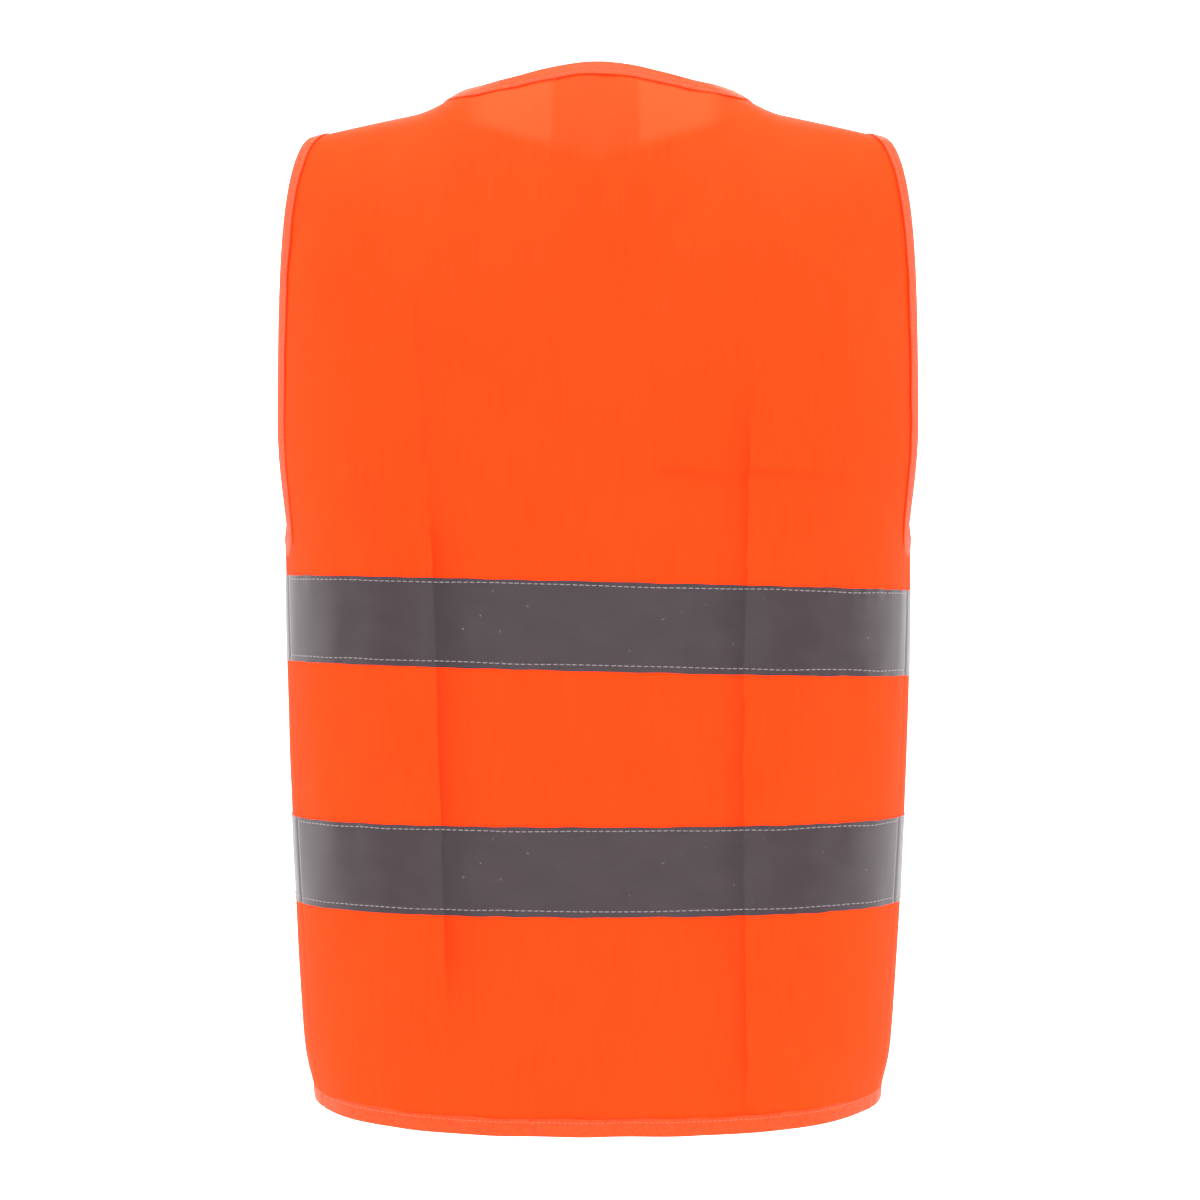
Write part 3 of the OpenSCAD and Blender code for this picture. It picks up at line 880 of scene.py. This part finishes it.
def tape_material():
    """Retroreflective tape: a grey glass-bead face, half glossy, with tiny specks and rubs."""
    n = Nodes("retroreflective_tape")
    beads = n.noise(n.cloth(1 / 0.0006, 1 / 0.0006), 1.0, 2)
    cloud = n.noise(n.cloth(1 / 0.030, 1 / 0.018), 1.0, 4, 0.6)
    rubs = n.noise(n.cloth(1 / 0.0030, 1 / 0.0300), 1.0, 3)
    specks = n.noise(n.cloth(1 / 0.0045, 1 / 0.0045), 1.0, 1)
    tone = n.math("ADD", n.math("MULTIPLY", cloud, 0.7), n.math("MULTIPLY", beads, 0.3))
    colour = n.ramp(tone, [(0.35, (0.035, 0.024, 0.028)), (0.65, (0.045, 0.032, 0.037))])
    # painted shade: the tape coloured darker along the pressed creases
    colour = n.shaded(colour, "fold", (0.022, 0.016, 0.018), 0.6)
    speck = n.ramp(specks, [(0.76, (0.0,) * 3), (0.82, (1.0,) * 3)])
    blend = n.add("ShaderNodeMix", data_type="RGBA")
    n.link(speck, blend.inputs["Factor"])
    n.link(colour, blend.inputs["A"])
    blend.inputs["B"].default_value = (0.13, 0.11, 0.12, 1)
    n.link(blend.outputs["Result"], n.shader.inputs["Base Color"])
    n.link(n.ramp(rubs, [(0.3, (0.300,) * 3), (0.7, (0.325,) * 3)]), n.shader.inputs["Roughness"])
    n.link(n.bump(beads, 0.15, 0.00004), n.shader.inputs["Normal"])
    n.set(Specular_IOR_Level=0.28)
    return n.material


def thread_material(name, light, dark):
    """Twisted polyester thread."""
    n = Nodes(name)
    twist = n.wave(n.cloth(1 / 0.0006, 1 / 0.0003), 0.3183, 0.2, "DIAGONAL")
    n.link(n.ramp(twist, [(0.2, dark), (0.8, light)]), n.shader.inputs["Base Color"])
    n.link(n.bump(twist, 0.5, 0.00006), n.shader.inputs["Normal"])
    n.set(Roughness=0.5, Sheen_Weight=0.2)
    return n.material


def pile_material(name, light, dark, scale, strength):
    """Hook or loop face: a dense grid of stems or a tangled pile."""
    n = Nodes(name)
    pile = n.add("ShaderNodeTexVoronoi")
    pile.inputs["Scale"].default_value = 1.0
    n.link(n.cloth(1 / scale, 1 / scale), pile.inputs["Vector"])
    fuzz = n.noise(n.cloth(1 / (scale * 0.6), 1 / (scale * 0.6)), 1.0, 4, 0.7)
    height = n.math("ADD", pile.outputs["Distance"], n.math("MULTIPLY", fuzz, 0.7))
    n.link(n.ramp(height, [(0.3, dark), (1.0, light)]), n.shader.inputs["Base Color"])
    n.link(n.bump(height, strength, 0.0004), n.shader.inputs["Normal"])
    n.set(Roughness=0.85, Sheen_Weight=0.4)
    return n.material


def label_material():
    """White satin label, blank."""
    n = Nodes("label_satin")
    weft = n.wave(n.cloth(1 / 0.0007, 1 / 0.0004), 0.3183, 0.2, "Y")
    cloud = n.noise(n.cloth(1 / 0.012, 1 / 0.012), 1.0, 3)
    n.link(n.ramp(cloud, [(0.3, (0.60, 0.60, 0.58)), (0.7, (0.66, 0.66, 0.64))]),
           n.shader.inputs["Base Color"])
    n.link(n.bump(weft, 0.25, 0.00006), n.shader.inputs["Normal"])
    n.set(Roughness=0.38, Sheen_Weight=0.3)
    return n.material


def backdrop_material():
    """White paper that glows a little, more so behind the vest than beyond the camera."""
    n = Nodes("backdrop_white")
    paper = n.noise(None, 40.0, 2)
    n.link(n.ramp(paper, [(0.3, (0.93,) * 3), (0.7, (0.96,) * 3)]), n.shader.inputs["Base Color"])
    n.set(Roughness=0.9)
    n.shader.inputs["Emission Color"].default_value = (1, 1, 1, 1)
    place_of = n.add("ShaderNodeTexCoord")
    split = n.add("ShaderNodeSeparateXYZ")
    n.link(place_of.outputs["Object"], split.inputs[0])
    far = n.add("ShaderNodeMapRange")
    for socket, value in zip(far.inputs[1:5], (2.5, -2.5, 0.12, 0.85)):
        socket.default_value = value
    n.link(split.outputs["Y"], far.inputs[0])
    n.link(far.outputs[0], n.shader.inputs["Emission Strength"])
    return n.material


KNIT = knit_material("knit_orange", ORANGE, ORANGE_LOW, 0.30, 0.40)
BINDING = binding_material()
TAPE = tape_material()
TAPE_THREAD = thread_material("thread_grey", (0.30, 0.25, 0.27), (0.17, 0.14, 0.15))
SEAM_THREAD = thread_material("thread_orange", (1.0, 0.13, 0.045), (0.95, 0.07, 0.02))
HOOK = pile_material("hook_orange", (0.95, 0.10, 0.03), (0.60, 0.04, 0.01), 0.0011, 0.8)
LOOP = pile_material("loop_orange", (0.98, 0.13, 0.04), (0.75, 0.06, 0.015), 0.0016, 1.0)
LABEL = label_material()


# ---- Panels ----------------------------------------------------------------------------------

LOWER_ROWS, ROUND_ROWS, UPPER_ROWS = 117, 26, 84
ROUND_TOP = float(level_from_share(ARMHOLE_ROUND))


def levels_up_to(top):
    """Levels from the hem to the top of each column, as an array of shape (rows, columns)."""
    top = np.atleast_1d(top)
    lower = np.linspace(-1, 0, LOWER_ROWS, endpoint=False)
    turn = np.linspace(0, 90, ROUND_ROWS, endpoint=False)
    bottom = level_from_share(ARMHOLE_ROUND * (1 - cos_d(turn)))
    share = np.linspace(0, 1, UPPER_ROWS)[:, None]
    fixed = np.concatenate([lower, bottom])[:, None] + 0 * top[None, :]
    return np.concatenate([fixed, mix(ROUND_TOP, top[None, :], share)])


def back_columns():
    """Shares of the half width, closer together where the neck curve turns up."""
    neck = NECK_F * sin_d(np.linspace(-90, 90, 109))
    wing = np.linspace(NECK_F, 1, 56)[1:]
    return np.concatenate([-wing[::-1], neck, wing])


def back_tops(f):
    inside = np.abs(f) < NECK_F - 1e-6
    return np.where(inside, neck_level(np.minimum(np.abs(f), NECK_F)), 1.0)


def back_panel():
    f = back_columns()
    v = levels_up_to(back_tops(f))
    phi = f[None, :] * back_side(v)
    grids = [place(BACK, phi, v, off) for off in (FABRIC_IN, FABRIC_OUT)]
    # nape=True paints light into the colour at the nape
    return closed_sheet("back_knit", [grids], KNIT, nape=True)


def front_phi(share, v, inset=0.0):
    return mix(front_side(v), phi_at_x(front_edge_x(v) + inset, v), share)


def front_panel(side_name):
    side = SIDES[side_name]
    share = np.linspace(0, 1, 121)
    v = levels_up_to(np.ones(121))
    phi = front_phi(share[None, :], v)
    grids = [place(FRONT, phi, v, off, side) for off in (FABRIC_IN, FABRIC_OUT)]
    return closed_sheet(f"{side_name}_front_knit", [grids], KNIT)


# ---- Tapes -----------------------------------------------------------------------------------

TAPE_ROWS = 56


def tape_places(face, side, share, drop, lean, off):
    """Places on a tape. share runs from seam to seam, or from the seam to the front edge."""
    v = v_at_z(-drop) + 0 * share
    for _ in range(3):
        side_phi = back_side(v) if face == BACK else front_side(v)
        phi = share * side_phi if face == BACK else front_phi(share, v, BINDING_W * 0.9)
        x = half_width(v) * signed_pow(sin_d(phi), 2 / SECTION_N)
        z = lean / 2 * x * side / HALF_CHEST - drop
        v = -(z - CHEST_Z) / (hem_z(x) - CHEST_Z)
    return place(face, phi, v, off, side)


def tape_profile(across):
    """The tape dips along its two rows of stitching, and its free edges lift a little."""
    top = (across * TAPE_W - 0.0022) / 0.0011
    bottom = ((1 - across) * TAPE_W - 0.0034) / 0.0011
    dips = np.exp(-top ** 2) + np.exp(-bottom ** 2)
    return 0.00010 - 0.00012 * dips + 0.00012 * (bell(across, 0.025) + bell(1 - across, 0.04))


def tape(name, face, side, drop, lean):
    t = np.linspace(0, 1, TAPE_ROWS)
    across = mix(t, 0.5 - 0.5 * np.cos(pi * t), 0.6)[:, None]
    count = 430 if face == BACK else 220
    share = np.linspace(-1 if face == BACK else 0, 1, count)[None, :]
    share, across = np.broadcast_arrays(share, across)
    x_run = share * HALF_CHEST
    wave = 0.00020 * PUCKER[0](x_run * 0.4) * (1 - 2 * across)
    stand = FABRIC_OUT + tape_profile(across)
    grids = [tape_places(face, side, share, drop + across * TAPE_W + wave, lean, stand + t)
             for t in (0, TAPE_T)]
    return closed_sheet(name, [grids], TAPE)


def tape_stitches(name, face, side, drop, lean, seed):
    count = 500 if face == BACK else 260
    share = np.linspace(-0.995 if face == BACK else 0.01, 0.995, count)
    rows = []
    for k, row in enumerate((drop + 0.0022, drop + TAPE_W - 0.0034)):
        wander = 0.00028 * waves(seed + k, 5, 0.03, 0.12)(share * HALF_CHEST)
        stand = FABRIC_OUT + TAPE_T + 0.00003
        low = tape_places(face, side, share, row + wander, lean, stand)
        high = tape_places(face, side, share, row + wander, lean, stand + 0.002)
        rows.append((low, high - low))
    return stitches(name, rows, TAPE_THREAD, seed=seed)


# ---- Bindings --------------------------------------------------------------------------------

def armhole_levels():
    turn = np.linspace(0, 90, 44, endpoint=False)
    bottom = level_from_share(ARMHOLE_ROUND * (1 - cos_d(turn)))
    return np.concatenate([bottom, np.linspace(ROUND_TOP, 1, 140)])


def armhole_path(side_name):
    side = SIDES[side_name]
    v = armhole_levels()
    inner_v = np.clip(v - 0.06 * (1 - np.clip(height_share(v) / ARMHOLE_ROUND, 0, 1)), -0.2, 1)
    back_phi = side * back_side(v)
    back = Path(BACK, 1, back_phi[::-1], v[::-1], 0.93 * back_phi[::-1], inner_v[::-1])
    front_phis = front_side(v)
    front = Path(FRONT, side, front_phis[1:], v[1:], 0.93 * front_phis[1:], inner_v[1:])
    return back.joined(front)


def neck_path():
    f = NECK_F * sin_d(np.linspace(-90, 90, 160))
    v = back_tops(f)
    v_in = v - 0.05 * (1 - (f / NECK_F) ** 2)
    return Path(BACK, 1, f * back_side(v), v, 1.06 * f * back_side(v_in), v_in)


def hem_path_back():
    phi = back_side(-1.0) * np.linspace(-1, 1, 240)
    v = np.full_like(phi, -1.0)
    return Path(BACK, 1, phi, v, phi, v + BINDING_W / SKIRT_H)


def hem_path_front(side_name):
    phi = mix(front_side(-1.0), phi_at_x(BINDING_W / 2 - LAP_WIDTH / 2, -1.0), np.linspace(0, 1, 130))
    v = np.full_like(phi, -1.0)
    return Path(FRONT, SIDES[side_name], phi, v, phi, v + BINDING_W / SKIRT_H)


def front_edge_path(side_name):
    v = levels_up_to(1.0)[:, 0]
    v = np.interp(np.linspace(0, 1, 330), np.linspace(0, 1, len(v)), v)
    return Path(FRONT, SIDES[side_name], front_phi(1.0, v), v, front_phi(0.93, v), v)


# ---- Seams, closure and label ----------------------------------------------------------------

SEAM_ALLOWANCE = 0.009


def side_seam_grid(side_name, off):
    """The seam allowance inside a side seam, turned towards the back."""
    v = np.linspace(-0.965, -0.03, 150)[:, None]
    inwards = np.linspace(0, 1, 7)[None, :]
    phi = back_side(v) - inwards * SEAM_ALLOWANCE / HALF_DEPTH * 57
    v, phi = np.broadcast_arrays(v, phi)
    return place(BACK, SIDES[side_name] * phi, v, off)


def shoulder_seam_grid(side_name, off):
    """The seam allowance inside a shoulder seam, turned towards the back."""
    x = np.linspace(HALF_NECK + BINDING_W, HALF_TIP - BINDING_W, 60)[:, None]
    v = np.linspace(1, 0.974, 6)[None, :]
    x, v = np.broadcast_arrays(x, v)
    return place(BACK, SIDES[side_name] * phi_at_x(x, v), v, off)


def seam(name, grid, material):
    top, bottom = FABRIC_IN - 0.0002, FABRIC_IN - 0.0012
    return closed_sheet(name, [(grid(bottom), grid(top))], material)


def overlock(name, grid, material, seed):
    """Zigzag thread over the free edge of a seam allowance."""
    under = grid(FABRIC_IN - 0.0015)
    deep = grid(FABRIC_IN - 0.0035)
    run = np.arange(4 * len(under))
    rows = run / 4
    columns = np.where(run % 2 == 0, 0.25, 0.98) * (under.shape[1] - 1)
    i = np.clip(rows.astype(int), 0, len(under) - 2)
    j = np.clip(columns.astype(int), 0, under.shape[1] - 2)
    fi, fj = (rows - i)[:, None], (columns - j)[:, None]

    def sample(g):
        return mix(mix(g[i, j], g[i + 1, j], fi), mix(g[i, j + 1], g[i + 1, j + 1], fi), fj)

    points = sample(under)
    return thread_tube(name, points, sample(deep) - points, 0.00022, material)


def thread_tube(name, points, up, radius, material):
    along = tangents(points)
    up = unit(up - np.sum(up * along, axis=1, keepdims=True) * along)
    beside = np.cross(along, up)
    around = np.radians(np.arange(0, 360, 72))
    rings = (points[:, None] + radius * (np.cos(around)[None, :, None] * beside[:, None]
                                         + np.sin(around)[None, :, None] * up[:, None]))
    return swept(name, rings, material)


PATCH_DROPS = [(0.003, 0.021), (0.086, 0.146), (0.221, 0.286)]  # below the armholes' bottoms
PATCH_HALF = 0.010
PATCH_CORNER = 0.0025
PATCH_EDGE_T, PATCH_CROWN_T = 0.0004, 0.0005


def patch_half(span):
    """Half the width of a patch, narrower where the front edge leaves less room."""
    edge = front_edge_x(-span[0] / SKIRT_H)
    return min(PATCH_HALF, -float(edge) - BINDING_W - 0.001)


def patches(name, side_name, sign, material):
    """Hook or loop patches with rounded corners, inside the left front or outside the right."""
    side = SIDES[side_name]
    pairs, rows = [], []
    for span in PATCH_DROPS:
        half = patch_half(span)
        t = np.linspace(-1, 1, 25)
        across, down = np.meshgrid(t, t, indexing="xy")
        corner = 1 - 0.5 * PATCH_CORNER / half * (np.abs(down) ** 8)
        x = across * half * corner
        drop = mix(span[0], span[1], (down + 1) / 2)
        v = -drop / SKIRT_H
        edge = 1 - np.maximum(np.abs(across), np.abs(down)) ** 10
        near = FABRIC_OUT + 0.00005 if sign > 0 else FABRIC_IN - 0.00005
        far = near + sign * (PATCH_EDGE_T + PATCH_CROWN_T * edge)
        phi = phi_at_x(x, v)
        pairs.append((place(FRONT, phi, v, near, side), place(FRONT, phi, v, far, side)))
        loop = np.radians(np.linspace(0, 360, 90))
        ring_x = half * 0.86 * signed_pow(np.cos(loop), 0.25)
        reach = (span[1] - span[0]) / 2 * 0.93
        ring_v = -(np.mean(span) + reach * signed_pow(np.sin(loop), 0.25)) / SKIRT_H
        ring_phi = phi_at_x(ring_x, ring_v)
        low = place(FRONT, ring_phi, ring_v, near + sign * 0.00085, side)
        high = place(FRONT, ring_phi, ring_v, near + sign * 0.0025, side)
        rows.append((low, high - low))
    piece = closed_sheet(name, pairs, material)
    thread = stitches(name + "_stitches", rows, SEAM_THREAD, 0.0034, 0.0027, 61)
    return piece, thread


def neck_label():
    """A blank folded label that hangs inside the nape, lying along the knit."""
    low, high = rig.box("neck_label")
    half = (high.x - low.x) / 2
    across = np.linspace(-1, 1, 41)[None, :]
    down = np.linspace(0, 1, 49)[:, None]
    across, down = np.broadcast_arrays(across, down)
    x = across * half
    z = mix(high.z, low.z, down) - 0.0004 * across ** 2
    cloth_y = np.interp(z, *nape_profile())
    gap = 0.0006 + 0.0022 * np.sin(down * pi) ** 2 + 0.0030 * down ** 6
    gap = gap + 0.0005 * np.sin(across * 2.6 + 0.7) * down
    y = cloth_y - gap - 0.5 * x * x / HALF_CHEST * 0.9
    inner = np.stack([x, y - 0.0005, z], axis=-1)
    outer = np.stack([x, y, z], axis=-1)
    piece = closed_sheet("neck_label_satin", [(inner, outer)], LABEL)
    row = (inner[2, 2:-2] - [0, 0.00005, 0], inner[2, 2:-2] * 0 + [0, -1, 0])
    thread = stitches("neck_label_stitches", [row], SEAM_THREAD, 0.003, 0.0024, 71)
    return piece, thread


def nape_profile():
    """Heights and depths of the back knit's inner face on the centre line, upwards."""
    v = np.linspace(0.2, float(back_tops(np.array([0.0]))[0]), 80)
    line = place(BACK, np.zeros(80), v, FABRIC_IN)
    return line[:, 2], line[:, 1]


# ---- The vest --------------------------------------------------------------------------------

BLEND = {
    side_name: {
        "start": (side * 0.0760, 0, 0),
        "end": (side * -0.0409, 0, -0.0182),
    }
    for side_name, side in SIDES.items()
}


# Each tape: its level, its drop below the origin, its lean and its number, which seeds its thread
TAPE_LEVELS = (("upper", UPPER_TAPE_DROP, UPPER_TAPE_LEAN, 0), ("lower", LOWER_TAPE_DROP, 0, 1))


def on_back(piece, slot, *nodes):
    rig.ride(piece, "back")
    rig.slot(piece, slot)
    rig.replaces(piece, *nodes)
    return piece


def on_front(piece, side_name, slot, *nodes):
    """A piece that bends from the back's body at its side to the front's body at the centre."""
    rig.blend(piece, "back", f"{side_name}_front", **BLEND[side_name])
    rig.slot(piece, slot)
    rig.replaces(piece, *nodes)
    return piece


def bound_edge(attach, name, path, seed, *nodes):
    """A binding and its row of stitches, both attached."""
    weave = binding(name + "_weave", path, BINDING, seed)
    rows = [stitch_row(path, BINDING_W * 0.78)]
    thread = stitches(name + "_weave_stitches", rows, SEAM_THREAD, 0.0030, 0.0024, seed)
    return [attach(weave, "binding", *nodes), attach(thread, "binding")]


def sewn_tape(attach, name, face, side, drop, lean, seed, width, knit):
    """A tape and its two rows of stitches, attached and declared."""
    band = attach(tape(name + "_face", face, side, drop, lean), "tape", name)
    thread = tape_stitches(name + "_stitches", face, side, drop, lean, seed)
    attach(thread, "thread", name + "_thread")
    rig.sheet(band, flat=(width, TAPE_W), held="stretched", rests_on=[knit], with_pieces=[thread])


def build_back():
    knit = on_back(back_panel(), "knit", "back_panel")
    along = []
    for name, path, seed in (("back_neck_binding", neck_path(), 31),
                             ("back_hem_binding", hem_path_back(), 32)):
        along += bound_edge(on_back, name, path, seed, name)
    for level, drop, lean, seed in TAPE_LEVELS:
        width = 2 * quarter_length(BACK, drop)
        sewn_tape(on_back, f"back_{level}_tape", BACK, 1, drop, lean, 41 + seed, width, knit)
    for side_name in SIDES:
        for kind, grid_of in (("side_seam", side_seam_grid), ("shoulder_seam", shoulder_seam_grid)):
            def grid(off, side_name=side_name, grid_of=grid_of):
                return grid_of(side_name, off)
            name = f"{side_name}_{kind}"
            flap = on_back(seam(name + "_allowance", grid, KNIT), "knit", name)
            thread = on_back(overlock(name + "_overlock", grid, SEAM_THREAD, 81), "seam_thread")
            along += [flap, thread]
    return knit, along


def quarter_length(face, drop):
    """Length along a tape from the centre line of a face to its side seam or front edge."""
    share = np.linspace(0, 1, 200)
    line = tape_places(face, 1, share, drop, 0, FABRIC_OUT)
    return float(np.sum(np.linalg.norm(np.diff(line, axis=0), axis=1)))


def build_front(side_name):
    side = SIDES[side_name]
    body = f"{side_name}_front"

    def attach(piece, slot, *nodes):
        return on_front(piece, side_name, slot, *nodes)

    knit = attach(front_panel(side_name), "knit", f"{body}_panel")
    along = []
    for name, path, seed in ((f"{body}_edge_binding", front_edge_path(side_name), 33 + side),
                             (f"{body}_hem_binding", hem_path_front(side_name), 36 + side)):
        along += bound_edge(attach, name, path, seed, name)
    for level, drop, lean, seed in TAPE_LEVELS:
        width = quarter_length(FRONT, drop)
        sewn_tape(attach, f"{body}_{level}_tape", FRONT, side, drop, lean, 43 + side + 3 * seed,
                  width, knit)
    armhole = f"{side_name}_armhole_binding"
    along += bound_edge(attach, armhole, armhole_path(side_name), 51 + side,
                        armhole + "_back", armhole + "_front")
    return knit, along


def build_closure():
    found = {}
    for name, side_name, sign, material, slot in (("hook", "left", -1, HOOK, "hook"),
                                                  ("loop", "right", 1, LOOP, "loop")):
        pads, thread = patches(f"{name}_pads", side_name, sign, material)
        on_front(pads, side_name, slot, f"{name}_patches")
        on_front(thread, side_name, slot)
        found[side_name] = [pads, thread]
    return found


back_knit, back_along = build_back()
closure = build_closure()
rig.sheet(back_knit, flat=(0.44, 0.65), held="hung", rests_on=[], area=0.246, with_pieces=back_along)
for side_name in SIDES:
    front_knit, front_along = build_front(side_name)
    front_along += closure[side_name]
    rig.sheet(front_knit, flat=(0.31, 0.65), held="hung", rests_on=[], area=0.149,
             with_pieces=front_along)
label, label_thread = neck_label()
for piece in (label, label_thread):
    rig.ride(piece, "neck_label")
    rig.slot(piece, "label")
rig.replaces(label, "neck_label")
label_low, label_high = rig.box("neck_label")
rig.sheet(label, flat=(label_high.x - label_low.x, label_high.z - label_low.z), held="hung",
         rests_on=[back_knit], with_pieces=[label_thread])


# ---- Stage, lights and camera ----------------------------------------------------------------

CENTRE = sum((np.array(corner) for corner in CAD_BOX), np.zeros(3)) / 2
FLOOR_DROP = 0.36               # floor below the hem, so that the vest hangs free


def build_stage():
    """A pale floor that curves up into a backdrop on all sides of the view."""
    floor_z = CAD_BOX[0][2] - FLOOR_DROP
    radius = np.concatenate([np.linspace(0.001, 4.5, 24), 4.5 + 1.5 * sin_d(np.linspace(6, 90, 14)),
                             np.full(8, 6.0)])
    height = np.concatenate([np.zeros(24), 1.5 * (1 - cos_d(np.linspace(6, 90, 14))),
                             np.linspace(1.8, 6.0, 8)])
    turn = np.radians(np.linspace(0, 360, 97))
    points = np.stack([radius[:, None] * np.cos(turn), radius[:, None] * np.sin(turn),
                       floor_z + height[:, None] + 0 * turn], axis=-1)
    rows, cols, _ = points.shape
    floor = new_mesh("studio_floor", points, grid_faces(rows, cols).tolist(), backdrop_material())
    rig.stage(floor)


def area_light(name, at, size, energy):
    """A soft rectangular light aimed at the middle of the vest."""
    data = bpy.data.lights.new(name, "AREA")
    data.shape = "RECTANGLE"
    data.size, data.size_y = size
    data.energy = energy
    light = bpy.data.objects.new(name, data)
    light.location = at
    aim = bpy.data.objects.new(name + "_aim", None)
    aim.location = CENTRE
    bpy.context.scene.collection.objects.link(aim)
    track = light.constraints.new("TRACK_TO")
    track.target = aim
    track.track_axis = "TRACK_NEGATIVE_Z"
    track.up_axis = "UP_Y"
    bpy.context.scene.collection.objects.link(light)


def build_lights():
    cx, cy, cz = CENTRE
    for side_name, side in SIDES.items():
        area_light(side_name + "_softbox", (cx + side * 1.8, cy - 0.15, cz + 0.1), (1.3, 1.8), 9)
    area_light("top_softbox", (cx, cy + 0.3, cz + 1.9), (1.8, 1.2), 54)
    area_light("fill_softbox", (cx, cy + 2.7, cz + 0.4), (3.2, 2.2), 17)
    area_light("far_softbox", (cx, cy - 1.7, cz + 1.5), (1.2, 0.7), 30)
    world = bpy.data.worlds.new("studio")
    world.use_nodes = True
    world.node_tree.nodes["Background"].inputs["Color"].default_value = (1, 1, 1, 1)
    world.node_tree.nodes["Background"].inputs["Strength"].default_value = 0.35
    bpy.context.scene.world = world


CAMERA_DISTANCE = 1.532         # from the vest's middle plane
CAMERA_DROP = 0.006             # below the middle of the vest
CAMERA_LENS = 76.67


def build_camera():
    data = bpy.data.cameras.new("camera")
    data.lens = CAMERA_LENS
    data.sensor_width = 36
    data.clip_end = 50
    camera = bpy.data.objects.new("camera", data)
    camera.location = (CENTRE[0] - 0.0012, CAMERA_DISTANCE, CENTRE[2] - CAMERA_DROP)
    camera.rotation_euler = (radians(90), 0, radians(180))
    bpy.context.scene.collection.objects.link(camera)
    bpy.context.scene.camera = camera


build_stage()
build_lights()
build_camera()
bpy.context.scene.view_settings.view_transform = "Standard"
bpy.context.scene.view_settings.look = "None"

with open("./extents.json", "w") as size_file:
    json.dump({"cad": CAD_BOX, "visual": [list(corner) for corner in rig.bounds()]}, size_file)
